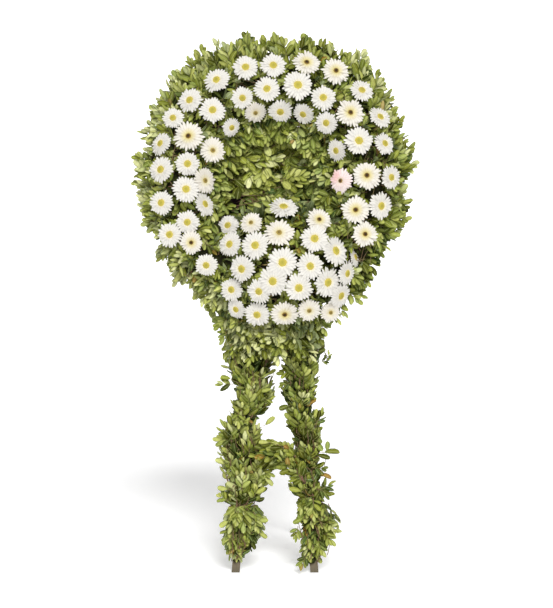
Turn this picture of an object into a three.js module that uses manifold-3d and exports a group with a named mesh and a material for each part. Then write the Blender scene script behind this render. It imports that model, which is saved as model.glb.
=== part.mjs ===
// A standing memorial wreath: a round head of box foliage and white gerberas on a
// four-footed timber stand whose two front legs are dressed with foliage too.
// Millimetres, +Z up, front towards -Y, +X to the viewer's right.
//
// Most pieces are drawn in the "leaning frame": its origin is the centre of the straw
// ring, X to the right, Z up along the leaning front of the stand, -Y out of the front.

import * as THREE from "three";
import { mergeVertices } from "three/addons/utils/BufferGeometryUtils.js";
import Module from "manifold-3d";

const wasm = await Module();
wasm.setup();

// ---------------------------------------------------------------- driving dimensions
const GAP = 0.35; // clearance left between pieces that touch

const HEAD_HEIGHT = 1336; // centre of the straw ring above the floor
const LEAN = THREE.MathUtils.degToRad(8); // the front leans back by this much

const RING_RADIUS = 316; // centreline of the straw ring
const RING_DEPTH = -70; // that centreline, in front of the head rails
const STRAW_RADIUS = 76; // thickness of the straw rope, as a radius
const PACKED_RADIUS = 330; // centreline of the foliage packed on it, thicker outwards
const COVER_SECTION = { out: 123, front: 108 }; // half axes of that foliage's section
const HUB_SECTION = { out: 135, front: 120 }; // the wired knots ride just over it
const BLOOM_SECTION = { out: 153, front: 138 }; // and the blooms ride over them
const RING_STEPS = 28; // facets round the ring
const ROPE_STEPS = 8; // facets round the rope

const CUSHION_CENTRE = new THREE.Vector3(48, RING_DEPTH, -286);
const CUSHION_STRAW = new THREE.Vector3(190, 132, 164); // half axes of the straw core
const CUSHION_COVER = new THREE.Vector3(230, 160, 204); // half axes over its foliage
const CUSHION_BLOOMS = new THREE.Vector3(262, 190, 236); // half axes of its bloom surface

const BACKING_RADIUS = 236; // woven straw mat that closes the ring
const BACKING_THICKNESS = 12;
const DISH_RADIUS = 201; // foliage in the open middle of the ring
const DISH_BED = 44; // depth of its packed part

const BATTEN_WIDTH = 28; // softwood battens of the stand
const BATTEN_DEPTH = 20;
const RAIL_DEPTH = 18;
const FOOT_LEFT = -131; // centre lines of the front feet
const FOOT_RIGHT = 143;
const APEX_X = 6; // where the front legs meet behind the ring
const APEX_Z = 300;
const PROP_TOP_Z = -100; // where the rear props meet the front legs
const REAR_FOOT_Y = 330; // rear feet, behind the upright through the ring centre
const STRETCHER_Z = 330; // height of the side stretchers above the floor
const STRETCHER_FRONT_Y = -128;
const STRETCHER_BACK_Y = 262;
const REAR_STRETCHER_Z = 830; // out of sight behind the collar
const RAIL_Z = 229; // head rails above and below the ring centre
const RAIL_HALF_LENGTH = 300;

const STEM_RADIUS = 3; // gerbera stems
const STEM_SIDES = 4;
const PETAL_TIPS = 7; // points drawn round each simplified bloom
const NOTCH = 0.84; // depth of the notches between them, as a share of the radius
const PETAL_DEPTH = 6; // thickness of a bloom's petals together
const HUB_SIZE = 12; // the wired knot where a bunch's stems meet
const COVER_TO_HUB = 12; // and this far over the cushion's foliage
const STEM_FOOT_IN_RING = 0.25; // how far out of the rope's middle its stems end
const STEM_FOOT_SHARE = 0.6; // the same for the cushion

const DEPTH_SHARE = 0.86; // a leg's foliage is this much less deep than wide
const BUNDLE_FORWARD = 12; // and sits this far forward of the batten's middle
const LEAF_LENGTH = 46;
const LEAF_WIDTH = 20;
const LEAF_THICKNESS = 5;
const GOLDEN_ANGLE = THREE.MathUtils.degToRad(137.5);

// Planting of the ring, one row a bloom: clock angle from the right-hand side in degrees,
// reach from the ring's centre, diameter, and how far the face turns outwards in degrees.
// Each list is one bunch on one stem.
const RING_BUNCHES = {
  gerberas_ring_top_left: [[104, 390, 95, 20], [111, 290, 80, -10], [105, 233, 90, -35]],
  gerberas_ring_top: [[90, 386, 92, 15], [94, 303, 92, 8], [84, 229, 92, -38]],
  gerberas_ring_top_right: [[74, 413, 102, 25], [75, 323, 108, 10], [65, 243, 85, -40]],
  gerberas_ring_shoulder_right: [[60, 430, 100, 20], [58, 320, 92, 0], [46, 261, 82, -28]],
  gerberas_ring_upper_right: [[45, 426, 85, 25], [40, 339, 102, 15]],
  gerberas_ring_right: [[30, 421, 85, 33], [23, 314, 102, 5], [21, 232, 75, -40], [17, 392, 80, 30]],
  gerberas_ring_mid_right: [[0, 396, 85, 37], [1, 316, 100, 0], [356, 232, 88, -28]],
  gerberas_ring_lower_right: [[345, 377, 98, 30], [338, 300, 102, -5]],
  gerbera_ring_right_foot: [[328, 365, 92, 15]],
  gerberas_ring_shoulder_left: [[120, 383, 92, 20], [132, 307, 92, 0], [129, 224, 75, -40]],
  gerberas_ring_upper_left: [[137, 387, 92, 22], [149, 397, 78, 10], [154, 319, 108, 10], [155, 225, 85, -15]],
  gerberas_ring_left: [[163, 400, 85, 37], [171, 293, 88, -10]],
  gerberas_ring_mid_left: [[176, 382, 95, 30], [188, 297, 95, 0], [184, 232, 85, -37]],
  gerberas_ring_lower_left: [[193, 386, 88, 15], [208, 327, 85, 5], [203, 247, 80, -50]],
  gerberas_ring_foot_left: [[209, 399, 88, 20], [219, 353, 82, 15]],
  gerbera_ring_left_foot: [[233, 373, 82, 15]],
};

// The same for the cushion: clock angle and reach are taken from the cushion's own centre.
const CUSHION_BUNCHES = {
  gerberas_cushion_right_edge: [[5, 234, 75, 60], [349, 204, 88, 46]],
  gerberas_cushion_upper_right: [[12, 165, 108, 39], [53, 176, 88, 22], [39, 116, 98, 6]],
  gerberas_cushion_top: [[94, 189, 98, 44], [107, 98, 105, 20], [133, 179, 78, 16]],
  gerberas_cushion_upper_left: [[148, 238, 78, 34], [163, 202, 88, 36], [155, 118, 98, 14]],
  gerberas_cushion_left: [[190, 154, 95, 16], [206, 212, 85, 23], [222, 232, 75, 35]],
  gerbera_cushion_middle: [[207, 19, 105, 0]],
  gerbera_cushion_centre_right: [[345, 78, 95, 16]],
  gerberas_cushion_centre_left: [[235, 85, 102, 14], [227, 140, 88, 22]],
  gerbera_cushion_centre_low: [[292, 99, 98, 14]],
  gerberas_cushion_lower_right: [[332, 154, 105, 40], [328, 214, 95, 47]],
  gerbera_cushion_low_left: [[240, 203, 92, 27]],
  gerbera_cushion_low_middle: [[267, 177, 98, 31]],
  gerberas_cushion_low_right: [[294, 180, 85, 28], [311, 222, 75, 25]],
};

// How a leg's foliage swells, from its bottom to its top: [share of height, share of bulge].
const TAPERING_DOWN = [[0, 0.48], [0.2, 0.66], [0.62, 1], [1, 0.96]];
const SPINDLE = [[0, 0.46], [0.22, 0.8], [0.58, 1], [0.84, 0.86], [1, 0.52]];
const SKIRT = [[0, 0.3], [0.2, 0.62], [0.5, 1], [0.8, 0.82], [1, 0.5]];

// Foliage bundles tied on each front leg: heights of top and bottom above the floor, the
// half width at the bulge, how far the bulge sits to the side of the leg, the profile, and
// which way the sprigs point (1 up, -1 down).
const LEG_BUNDLES = {
  leg_leaves_left_upper: { foot: FOOT_LEFT, top: 722, bottom: 562, bulge: 84, out: 2, swell: TAPERING_DOWN, point: 1 },
  leg_leaves_left_middle: { foot: FOOT_LEFT, top: 556, bottom: 226, bulge: 84, out: 0, swell: SPINDLE, point: 1 },
  leg_leaves_left_foot: { foot: FOOT_LEFT, top: 221, bottom: 32, bulge: 72, out: 4, swell: SKIRT, point: -1 },
  leg_leaves_right_upper: { foot: FOOT_RIGHT, top: 722, bottom: 596, bulge: 70, out: 2, swell: TAPERING_DOWN, point: 1 },
  leg_leaves_right_middle: { foot: FOOT_RIGHT, top: 590, bottom: 262, bulge: 70, out: 10, swell: SPINDLE, point: 1 },
  leg_leaves_right_foot: { foot: FOOT_RIGHT, top: 256, bottom: 58, bulge: 72, out: 12, swell: SKIRT, point: -1 },
};

// ---------------------------------------------------------------- materials
const WOOD = new THREE.MeshStandardMaterial({ color: 0x9a7a58, roughness: 0.8, metalness: 0 });
const STRAW = new THREE.MeshStandardMaterial({ color: 0xb59a5a, roughness: 0.9, metalness: 0 });
const LEAVES = new THREE.MeshStandardMaterial({ color: 0x6e8a35, roughness: 0.55, metalness: 0 });
const DARK_LEAVES = new THREE.MeshStandardMaterial({ color: 0x55743a, roughness: 0.55, metalness: 0 });
const PETALS = new THREE.MeshStandardMaterial({ color: 0xf4f2f0, roughness: 0.6, metalness: 0 });

// ---------------------------------------------------------------- solids
const UP = new THREE.Vector3(0, 0, 1);
const RIGHT = new THREE.Vector3(1, 0, 0);
const BACK = new THREE.Vector3(0, 1, 0);

const leaning = new THREE.Group();
leaning.position.set(0, 0, HEAD_HEIGHT);
leaning.rotation.x = -LEAN;
leaning.updateMatrixWorld(true);
const toLeaning = leaning.matrixWorld.clone().invert();

/** Turns a closed three.js geometry into a solid that can be joined and cut. */
function solidFrom(geometry) {
  const bare = geometry.clone();
  bare.deleteAttribute("normal");
  bare.deleteAttribute("uv");
  const merged = mergeVertices(bare, 1e-3);
  const corners = merged.index.array;
  const kept = [];
  for (let i = 0; i < corners.length; i += 3) {
    const [a, b, c] = [corners[i], corners[i + 1], corners[i + 2]];
    if (a !== b && b !== c && c !== a) kept.push(a, b, c);
  }
  return new wasm.Manifold(new wasm.Mesh({
    numProp: 3,
    vertProperties: new Float32Array(merged.attributes.position.array),
    triVerts: new Uint32Array(kept),
  }));
}

/** Joins several solids into one. */
function joined(solids) {
  return solids.reduce((whole, next) => whole.add(next));
}

/** Cuts a list of solids away from one solid. */
function cutBy(solid, cutters) {
  return cutters.reduce((rest, cutter) => rest.subtract(cutter), solid);
}

/** Keeps the largest of the separate bodies that a cut may leave. */
function largest(solid) {
  const bodies = solid.decompose();
  return bodies.reduce((best, body) => (body.volume() > best.volume() ? body : best));
}

/** A solid and the room that it needs: the same shape with the clearance added. */
function withRoom(make) {
  return { solid: make(0), room: make(GAP) };
}

/** Turns a solid back into a three.js geometry. */
function geometryOf(solid) {
  const mesh = solid.getMesh();
  const geometry = new THREE.BufferGeometry();
  geometry.setAttribute("position", new THREE.BufferAttribute(mesh.vertProperties, mesh.numProp));
  geometry.setIndex(new THREE.BufferAttribute(mesh.triVerts, 1));
  return geometry;
}

/** Adds a solid to the wreath as a named mesh placed at its own centre. */
function place(name, solid, material) {
  const drawn = geometryOf(solid);
  drawn.computeBoundingBox();
  const centre = drawn.boundingBox.getCenter(new THREE.Vector3());
  drawn.translate(-centre.x, -centre.y, -centre.z);
  const geometry = geometryOf(largest(solidFrom(drawn)));
  geometry.computeVertexNormals();
  const mesh = new THREE.Mesh(geometry, material);
  mesh.name = name;
  mesh.position.copy(centre);
  leaning.add(mesh);
}

/** The matrix that stands local +Z along a direction at a place. */
function alongAt(at, direction, turn = 0) {
  const swing = new THREE.Quaternion().setFromUnitVectors(UP, direction.clone().normalize());
  const spin = new THREE.Quaternion().setFromAxisAngle(UP, turn);
  return new THREE.Matrix4().compose(at, swing.multiply(spin), new THREE.Vector3(1, 1, 1));
}

/** A rectangular batten between two points, grown by a clearance on every side. */
function batten(from, to, width, depth, grow) {
  const run = to.clone().sub(from);
  const box = new THREE.BoxGeometry(width + 2 * grow, depth + 2 * grow, run.length() + 2 * grow);
  const z = run.clone().normalize();
  const x = new THREE.Vector3().crossVectors(BACK, z).normalize();
  const y = new THREE.Vector3().crossVectors(z, x);
  const turn = new THREE.Matrix4().makeBasis(x, y, z);
  turn.setPosition(from.clone().add(to).multiplyScalar(0.5));
  return solidFrom(box.applyMatrix4(turn));
}

/** A box between two corners in the leaning frame. */
function block(low, high) {
  const size = high.clone().sub(low);
  const box = new THREE.BoxGeometry(size.x, size.y, size.z);
  const middle = low.clone().add(high).multiplyScalar(0.5);
  return solidFrom(box.translate(middle.x, middle.y, middle.z));
}

/** A straight stem between two points. */
function rod(from, to, radius) {
  const run = to.clone().sub(from);
  const cylinder = new THREE.CylinderGeometry(radius, radius, run.length(), STEM_SIDES);
  cylinder.rotateX(Math.PI / 2);
  const middle = from.clone().add(to).multiplyScalar(0.5);
  return solidFrom(cylinder.applyMatrix4(alongAt(middle, run)));
}

/** A ring about the Y axis through the ring's centre, with an elliptical section. */
function ringTorus(radius, out, front) {
  const torus = new THREE.TorusGeometry(radius, out, ROPE_STEPS, RING_STEPS);
  torus.rotateX(Math.PI / 2);
  torus.scale(1, front / out, 1);
  torus.translate(0, RING_DEPTH, 0);
  return solidFrom(torus);
}

/** The cushion's ellipsoid with the given half axes. */
function cushionDome(halfAxes, grow) {
  const dome = new THREE.SphereGeometry(1, 14, 8);
  dome.scale(halfAxes.x + grow, halfAxes.y + grow, halfAxes.z + grow);
  dome.translate(CUSHION_CENTRE.x, CUSHION_CENTRE.y, CUSHION_CENTRE.z);
  return solidFrom(dome);
}

/** One pointed leaf from its base towards a direction, with its blade turned by an angle. */
function leaf(base, direction, turn, length, grow) {
  const blade = new THREE.OctahedronGeometry(1);
  const end = 6 * grow;
  blade.scale(LEAF_WIDTH / 2 + 1.5 * grow, LEAF_THICKNESS / 2 + 1.5 * grow, length / 2 + end);
  blade.translate(0, 0, length / 2);
  return solidFrom(blade.applyMatrix4(alongAt(base, direction, turn)));
}

/** A sprig tip: a middle leaf and a pair that opens to both sides of it. */
function sprig(base, direction, turn, length, grow) {
  const side = new THREE.Vector3().crossVectors(direction, BACK);
  if (side.lengthSq() < 0.05) side.copy(RIGHT);
  side.normalize().applyAxisAngle(direction.clone().normalize(), turn);
  const opened = [-1, 1].map((hand) => direction.clone().normalize().addScaledVector(side, 0.75 * hand));
  return [
    leaf(base, direction, turn, length, grow),
    ...opened.map((way) => leaf(base, way, turn, 0.85 * length, grow)),
  ];
}

// ---------------------------------------------------------------- timber stand
/** The X of a front leg's centre line at a height in the leaning frame. */
function legX(foot, z) {
  const floorZ = -HEAD_HEIGHT / Math.cos(LEAN);
  return THREE.MathUtils.mapLinear(z, floorZ, APEX_Z, foot, APEX_X);
}

/** A point on the floor or above it, given upright, as a point in the leaning frame. */
function upright(x, y, z) {
  return new THREE.Vector3(x, y, z).applyMatrix4(toLeaning);
}

const RAIL_BACK = GAP + RAIL_DEPTH;
const LEG_FRONT = RAIL_BACK + GAP;
const LEG_MIDDLE = LEG_FRONT + BATTEN_DEPTH / 2;
const LEG_BACK = LEG_FRONT + BATTEN_DEPTH;
const FAR = 2000; // half size of the blocks that cut everything past a plane

const underFloor = solidFrom(
  new THREE.BoxGeometry(2 * FAR, 2 * FAR, FAR).translate(0, 0, -FAR / 2).applyMatrix4(toLeaning),
);

/** One front leg, from the floor to its mitre behind the top of the ring. */
function frontLeg(foot, grow) {
  const low = -HEAD_HEIGHT / Math.cos(LEAN) - 40;
  const from = new THREE.Vector3(legX(foot, low), LEG_MIDDLE, low);
  const to = new THREE.Vector3(APEX_X, LEG_MIDDLE, APEX_Z);
  const hand = Math.sign(foot);
  const pastMitre = block(
    new THREE.Vector3(hand > 0 ? APEX_X - FAR : APEX_X - GAP / 2 + grow, -FAR, -FAR),
    new THREE.Vector3(hand > 0 ? APEX_X + GAP / 2 - grow : APEX_X + FAR, FAR, FAR),
  );
  return cutBy(batten(from, to, BATTEN_WIDTH, BATTEN_DEPTH, grow), [underFloor, pastMitre]);
}

/** One rear prop, from the back of a front leg down to its own foot on the floor. */
function rearProp(foot, grow) {
  const top = new THREE.Vector3(legX(foot, PROP_TOP_Z), LEG_FRONT - 20, PROP_TOP_Z + 60);
  const bottom = upright(foot, REAR_FOOT_Y, 0);
  const run = bottom.clone().sub(top);
  const past = bottom.clone().addScaledVector(run.normalize(), 60);
  const inFront = block(
    new THREE.Vector3(-FAR, -FAR, -FAR),
    new THREE.Vector3(FAR, LEG_BACK + GAP - grow, FAR),
  );
  return cutBy(batten(top, past, BATTEN_WIDTH, BATTEN_DEPTH, grow), [underFloor, inFront]);
}

/** A side stretcher, nailed to the inner faces of a front leg and its rear prop. */
function sideStretcher(foot, grow) {
  const hand = Math.sign(foot);
  const legAt = legX(foot, STRETCHER_Z - HEAD_HEIGHT);
  const inner = legAt - hand * (BATTEN_WIDTH / 2 + RAIL_DEPTH / 2 + 2);
  const front = upright(inner, STRETCHER_FRONT_Y, STRETCHER_Z);
  const back = upright(inner, STRETCHER_BACK_Y, STRETCHER_Z);
  const length = STRETCHER_BACK_Y - STRETCHER_FRONT_Y;
  const box = new THREE.BoxGeometry(RAIL_DEPTH + 2 * grow, length + 2 * grow, BATTEN_WIDTH + 2 * grow);
  box.rotateX(LEAN);
  const middle = front.clone().add(back).multiplyScalar(0.5);
  return solidFrom(box.translate(middle.x, middle.y, middle.z));
}

/** The stretcher across the backs of the two rear props. */
function rearStretcher() {
  const propY = THREE.MathUtils.mapLinear(REAR_STRETCHER_Z, 0, HEAD_HEIGHT + PROP_TOP_Z, REAR_FOOT_Y, 24);
  const middle = upright(6, propY + BATTEN_DEPTH, REAR_STRETCHER_Z);
  const box = new THREE.BoxGeometry(FOOT_RIGHT - FOOT_LEFT + 24, RAIL_DEPTH, BATTEN_WIDTH);
  box.rotateX(LEAN);
  return solidFrom(box.translate(middle.x, middle.y, middle.z));
}

/** A head rail that carries the ring across the two front legs. */
function headRail(z) {
  return block(
    new THREE.Vector3(-RAIL_HALF_LENGTH, GAP, z - BATTEN_WIDTH / 2),
    new THREE.Vector3(RAIL_HALF_LENGTH, RAIL_BACK, z + BATTEN_WIDTH / 2),
  );
}

// ---------------------------------------------------------------- gerberas
/** One simplified gerbera facing +Z at the origin: a pointed disc of petals and its eye. */
function bloomShape(diameter, grow) {
  const outline = new THREE.Shape();
  for (let i = 0; i < 2 * PETAL_TIPS; i += 1) {
    const radius = (i % 2 ? NOTCH : 1) * (diameter / 2) + 1.5 * grow;
    const angle = (i * Math.PI) / PETAL_TIPS;
    const [x, y] = [radius * Math.cos(angle), radius * Math.sin(angle)];
    if (i === 0) outline.moveTo(x, y);
    else outline.lineTo(x, y);
  }
  outline.closePath();
  const depth = PETAL_DEPTH + 2 * grow;
  const petals = new THREE.ExtrudeGeometry(outline, { depth, bevelEnabled: false });
  petals.translate(0, 0, -PETAL_DEPTH - grow);
  const eye = new THREE.CylinderGeometry(9 + grow, 12 + grow, PETAL_DEPTH + grow, STEM_SIDES);
  eye.rotateX(Math.PI / 2);
  eye.translate(0, 0, grow / 2);
  return [petals, eye];
}

/** Where a bloom of the ring sits and which way it faces. */
function onRing([clock, reach, , turn]) {
  const angle = THREE.MathUtils.degToRad(clock);
  const outwards = new THREE.Vector3(Math.cos(angle), 0, Math.sin(angle));
  const across = (reach - PACKED_RADIUS) / BLOOM_SECTION.out;
  const at = outwards.clone().multiplyScalar(reach);
  at.y = RING_DEPTH - BLOOM_SECTION.front * Math.sqrt(1 - across * across);
  return { at, facing: facingOut(outwards, turn) };
}

/** Where a bloom of the cushion sits and which way it faces. */
function onCushion([clock, reach, , turn]) {
  const angle = THREE.MathUtils.degToRad(clock);
  const outwards = new THREE.Vector3(Math.cos(angle), 0, Math.sin(angle));
  const at = outwards.clone().multiplyScalar(reach);
  const share = (at.x / CUSHION_BLOOMS.x) ** 2 + (at.z / CUSHION_BLOOMS.z) ** 2;
  at.y = -CUSHION_BLOOMS.y * Math.sqrt(Math.max(0, 1 - share));
  at.add(CUSHION_CENTRE);
  return { at, facing: facingOut(outwards, turn) };
}

/** The direction straight out of the front, turned outwards by an angle in degrees. */
function facingOut(outwards, turn) {
  const angle = THREE.MathUtils.degToRad(turn);
  const facing = outwards.clone().multiplyScalar(Math.sin(angle));
  facing.y = -Math.cos(angle);
  return facing;
}

/** A bunch of gerberas: short stems meet in a wired hub, and one stem runs into the straw. */
function bunch(blooms, seat, hub, grow) {
  const parts = [];
  const middle = new THREE.Vector3();
  blooms.forEach((bloom) => middle.add(seat(bloom).at));
  const { meeting, foot } = hub(middle.multiplyScalar(1 / blooms.length));
  blooms.forEach((bloom, index) => {
    const { at, facing } = seat(bloom);
    const matrix = alongAt(at, facing, index * GOLDEN_ANGLE);
    bloomShape(bloom[2], grow).forEach((shape) => parts.push(solidFrom(shape.applyMatrix4(matrix))));
    const back = at.clone().addScaledVector(facing, -PETAL_DEPTH / 2);
    parts.push(rod(back, meeting, STEM_RADIUS + 1.3 * grow));
  });
  const size = HUB_SIZE + 2 * grow;
  const knot = new THREE.BoxGeometry(size, size, size);
  parts.push(solidFrom(knot.translate(meeting.x, meeting.y, meeting.z)));
  const past = foot.clone().sub(meeting).setLength(2 * grow).add(foot);
  parts.push(rod(meeting, past, STEM_RADIUS + 1.3 * grow));
  return joined(parts);
}

/** A ring bunch's hub just over the foliage, and the foot of its stem in the straw. */
function ringHub(middle) {
  const outwards = new THREE.Vector3(middle.x, 0, middle.z).normalize();
  const core = outwards.clone().multiplyScalar(RING_RADIUS);
  core.y = RING_DEPTH;
  const packed = outwards.clone().multiplyScalar(PACKED_RADIUS);
  packed.y = RING_DEPTH;
  const across = middle.clone().sub(packed);
  const stretch = Math.hypot(across.x / HUB_SECTION.out, across.z / HUB_SECTION.out, across.y / HUB_SECTION.front);
  const meeting = packed.addScaledVector(across, 1 / stretch);
  return { meeting, foot: core.lerp(meeting, STEM_FOOT_IN_RING) };
}

/** The same for a bunch of the cushion. */
function cushionHub(middle) {
  const way = middle.clone().sub(CUSHION_CENTRE);
  const lift = COVER_TO_HUB;
  const stretch = Math.hypot(
    way.x / (CUSHION_COVER.x + lift),
    way.y / (CUSHION_COVER.y + lift),
    way.z / (CUSHION_COVER.z + lift),
  );
  return {
    meeting: way.clone().divideScalar(stretch).add(CUSHION_CENTRE),
    foot: way.clone().multiplyScalar(STEM_FOOT_SHARE / stretch).add(CUSHION_CENTRE),
  };
}

// ---------------------------------------------------------------- foliage
const COVER_ENDS = [-62, 2, 66, 130, 194, 260]; // clock angles where the ring's sectors part
const backPlane = block(new THREE.Vector3(-FAR, -GAP, -FAR), new THREE.Vector3(FAR, FAR, FAR));

/** The wedge of space between two clock angles, seen from the front. */
function wedge(start, end) {
  const [from, to] = [start, end].map(THREE.MathUtils.degToRad);
  const middle = (from + to) / 2;
  const inset = GAP / 2 / Math.sin((to - from) / 2);
  const outline = new THREE.Shape();
  outline.moveTo(inset * Math.cos(middle), inset * Math.sin(middle));
  outline.lineTo(FAR * Math.cos(from), FAR * Math.sin(from));
  outline.lineTo(FAR * Math.cos(middle), FAR * Math.sin(middle));
  outline.lineTo(FAR * Math.cos(to), FAR * Math.sin(to));
  outline.closePath();
  const slab = new THREE.ExtrudeGeometry(outline, { depth: FAR, bevelEnabled: false });
  slab.translate(0, 0, -FAR / 2);
  slab.rotateX(Math.PI / 2);
  return solidFrom(slab);
}

/** Sprigs that stand out of the ring's cover between two clock angles. */
function ringSprigs(start, end, grow) {
  const sprigs = [];
  const step = 9.5;
  const count = Math.floor((end - start) / step);
  for (let i = 0; i < count; i += 1) {
    const angle = THREE.MathUtils.degToRad(start + (i + 0.5) * ((end - start) / count));
    const round = THREE.MathUtils.degToRad([68, 100, 84][i % 3]);
    const outwards = new THREE.Vector3(Math.cos(angle), 0, Math.sin(angle));
    const along = new THREE.Vector3(-Math.sin(angle), 0, Math.cos(angle));
    const base = outwards.clone().multiplyScalar(PACKED_RADIUS + (COVER_SECTION.out - 12) * Math.sin(round));
    base.y = RING_DEPTH - (COVER_SECTION.front - 12) * Math.cos(round);
    const way = outwards.clone().addScaledVector(along, [0.5, -0.35, 0.15][i % 3]);
    way.y = [-0.5, 0.1, -0.2][i % 3];
    sprigs.push(...sprig(base, way, i * GOLDEN_ANGLE, 1.35 * LEAF_LENGTH, grow));
  }
  return sprigs;
}

/** Sprigs round the low rim of the cushion, where the head closes below. */
function rimSprigs(grow) {
  const sprigs = [];
  const count = 9;
  for (let i = 0; i < count; i += 1) {
    const angle = THREE.MathUtils.degToRad(THREE.MathUtils.mapLinear(i, 0, count - 1, 205, 345));
    const outwards = new THREE.Vector3(Math.cos(angle), 0, Math.sin(angle));
    const base = new THREE.Vector3(
      (CUSHION_COVER.x - 14) * outwards.x,
      -20 - 45 * (i % 2),
      (CUSHION_COVER.z - 14) * outwards.z,
    );
    const way = outwards.clone();
    way.y = -0.3 * (i % 3);
    sprigs.push(...sprig(base.add(CUSHION_CENTRE), way, i * GOLDEN_ANGLE, LEAF_LENGTH, grow));
  }
  return sprigs;
}

/** The foliage of the open dish: a low bed with flat sprigs laid across it. */
function dishFoliage(grow) {
  const bed = new THREE.CylinderGeometry(DISH_RADIUS + grow, DISH_RADIUS - 22 + grow, DISH_BED + 2 * grow, 20);
  bed.translate(0, -BACKING_THICKNESS - 2 * GAP - DISH_BED / 2, 0);
  const parts = [solidFrom(bed)];
  const count = 14;
  for (let i = 0; i < count; i += 1) {
    const reach = (DISH_RADIUS - 45) * Math.sqrt((i + 0.5) / count);
    const angle = i * GOLDEN_ANGLE;
    const base = new THREE.Vector3(reach * Math.cos(angle), -BACKING_THICKNESS - DISH_BED + 4, reach * Math.sin(angle));
    const way = new THREE.Vector3(i % 2 ? 1 : -1, -0.45, 0.3 * Math.sin(5 * angle));
    parts.push(...sprig(base, way, 0.4 * Math.cos(angle), LEAF_LENGTH, grow));
  }
  return joined(parts);
}

/** A bulging body of foliage about an upright axis, from profile rows of [radius, height]. */
function leafyBody(profile, sides, depthShare) {
  const points = profile.map(([r, z]) => new THREE.Vector2(r, z));
  const body = new THREE.LatheGeometry(points, sides);
  body.rotateX(Math.PI / 2);
  body.scale(1, depthShare, 1);
  return body;
}

/** The collar under the head, where the foliage narrows into the two legs. */
function collar(grow) {
  const profile = [[0, -622], [120, -618], [166, -585], [176, -520], [206, -450], [200, -415], [0, -410]];
  const grown = profile.map(([r, z]) => [r > 0 ? r + 2 * grow : 0, z + Math.sign(z + 520) * 2 * grow]);
  const body = leafyBody(grown, 12, 0.46);
  body.translate(8, -28, 0);
  const parts = [solidFrom(body)];
  const count = 12;
  for (let i = 0; i < count; i += 1) {
    const angle = i * GOLDEN_ANGLE;
    const z = THREE.MathUtils.mapLinear(i, 0, count, -606, -440);
    const reach = z < -560 ? 150 : 165;
    const side = new THREE.Vector3(Math.cos(angle), Math.sin(angle), 0);
    const base = new THREE.Vector3(8 + reach * side.x, -28 + 0.44 * reach * side.y, z);
    const way = new THREE.Vector3(0.8 * side.x, 0.7 * side.y, i % 3 ? -0.7 : 0.5);
    parts.push(...sprig(base, way, i, LEAF_LENGTH, grow));
  }
  return joined(parts);
}

/** One foliage bundle tied round a front leg. */
function legBundle({ foot, top, bottom, bulge, out, swell, point }, grow) {
  const [zLow, zHigh] = [bottom, top].map((z) => (z - HEAD_HEIGHT) / Math.cos(LEAN));
  const height = zHigh - zLow;
  const rows = swell.map(([up, share]) => [share * bulge + grow, up * height + (2 * up - 1) * grow]);
  const profile = [[0, -grow], ...rows, [0, height + grow]];
  const body = leafyBody(profile, 8, DEPTH_SHARE);
  const drift = (legX(foot, zHigh) - legX(foot, zLow)) / height;
  body.applyMatrix4(new THREE.Matrix4().makeShear(0, 0, 0, 0, drift, 0));
  body.translate(legX(foot, zLow) + out, LEG_MIDDLE - BUNDLE_FORWARD, zLow);
  const parts = [solidFrom(body)];
  const count = Math.round(height / 46) + 2;
  for (let i = 0; i < count; i += 1) {
    const share = (i + 0.5) / count;
    const z = zLow + share * height;
    const angle = i * GOLDEN_ANGLE;
    const reach = bulge * (0.5 + 0.3 * Math.sin(Math.PI * share));
    const side = new THREE.Vector3(Math.cos(angle), Math.sin(angle), 0);
    const base = new THREE.Vector3(
      legX(foot, z) + out + reach * side.x,
      LEG_MIDDLE - BUNDLE_FORWARD + DEPTH_SHARE * reach * side.y,
      z,
    );
    const way = new THREE.Vector3(side.x, side.y, point * (0.75 + 0.25 * Math.cos(3 * angle)));
    parts.push(...sprig(base, way.normalize(), i, 1.2 * LEAF_LENGTH, grow));
  }
  return joined(parts);
}

// The sprig that bridges the gap between the legs: its twig's route, upright.
const BRIDGE_ROUTE = [[-50, -150, 452], [6, -160, 446], [48, -168, 422], [70, -168, 370], [96, -166, 322]];

/** The bridging sprig: a bowed twig with leaves hanging under it. */
function bridgeSprig(grow) {
  const route = new THREE.CatmullRomCurve3(BRIDGE_ROUTE.map(([x, y, z]) => upright(x, y, z)));
  const section = new THREE.Shape();
  section.absarc(0, 0, 3 + 1.3 * grow, 0, 2 * Math.PI);
  const twig = new THREE.ExtrudeGeometry(section, { extrudePath: route, steps: 8, curveSegments: 3 });
  const parts = [solidFrom(twig)];
  const count = 9;
  for (let i = 0; i < count; i += 1) {
    const share = 0.2 + (0.62 * i) / (count - 1);
    const base = route.getPointAt(share);
    const way = new THREE.Vector3(i % 2 ? 0.35 : -0.45, -0.25, i % 3 ? -1 : 0.6);
    parts.push(leaf(base, way.normalize(), i, 0.9 * LEAF_LENGTH, grow));
  }
  return joined(parts);
}

// ---------------------------------------------------------------- fitting together
const legs = {
  front_leg_left: withRoom((grow) => frontLeg(FOOT_LEFT, grow)),
  front_leg_right: withRoom((grow) => frontLeg(FOOT_RIGHT, grow)),
};
const props = {
  rear_prop_left: withRoom((grow) => rearProp(FOOT_LEFT, grow)),
  rear_prop_right: withRoom((grow) => rearProp(FOOT_RIGHT, grow)),
};
const legRooms = Object.values(legs).map((leg) => leg.room);
const timberRooms = [...legRooms, ...Object.values(props).map((prop) => prop.room)];

const stretchers = {
  side_stretcher_left: withRoom((grow) => sideStretcher(FOOT_LEFT, grow)),
  side_stretcher_right: withRoom((grow) => sideStretcher(FOOT_RIGHT, grow)),
};
const stretcherRooms = Object.values(stretchers).map((stretcher) => stretcher.room);

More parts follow.
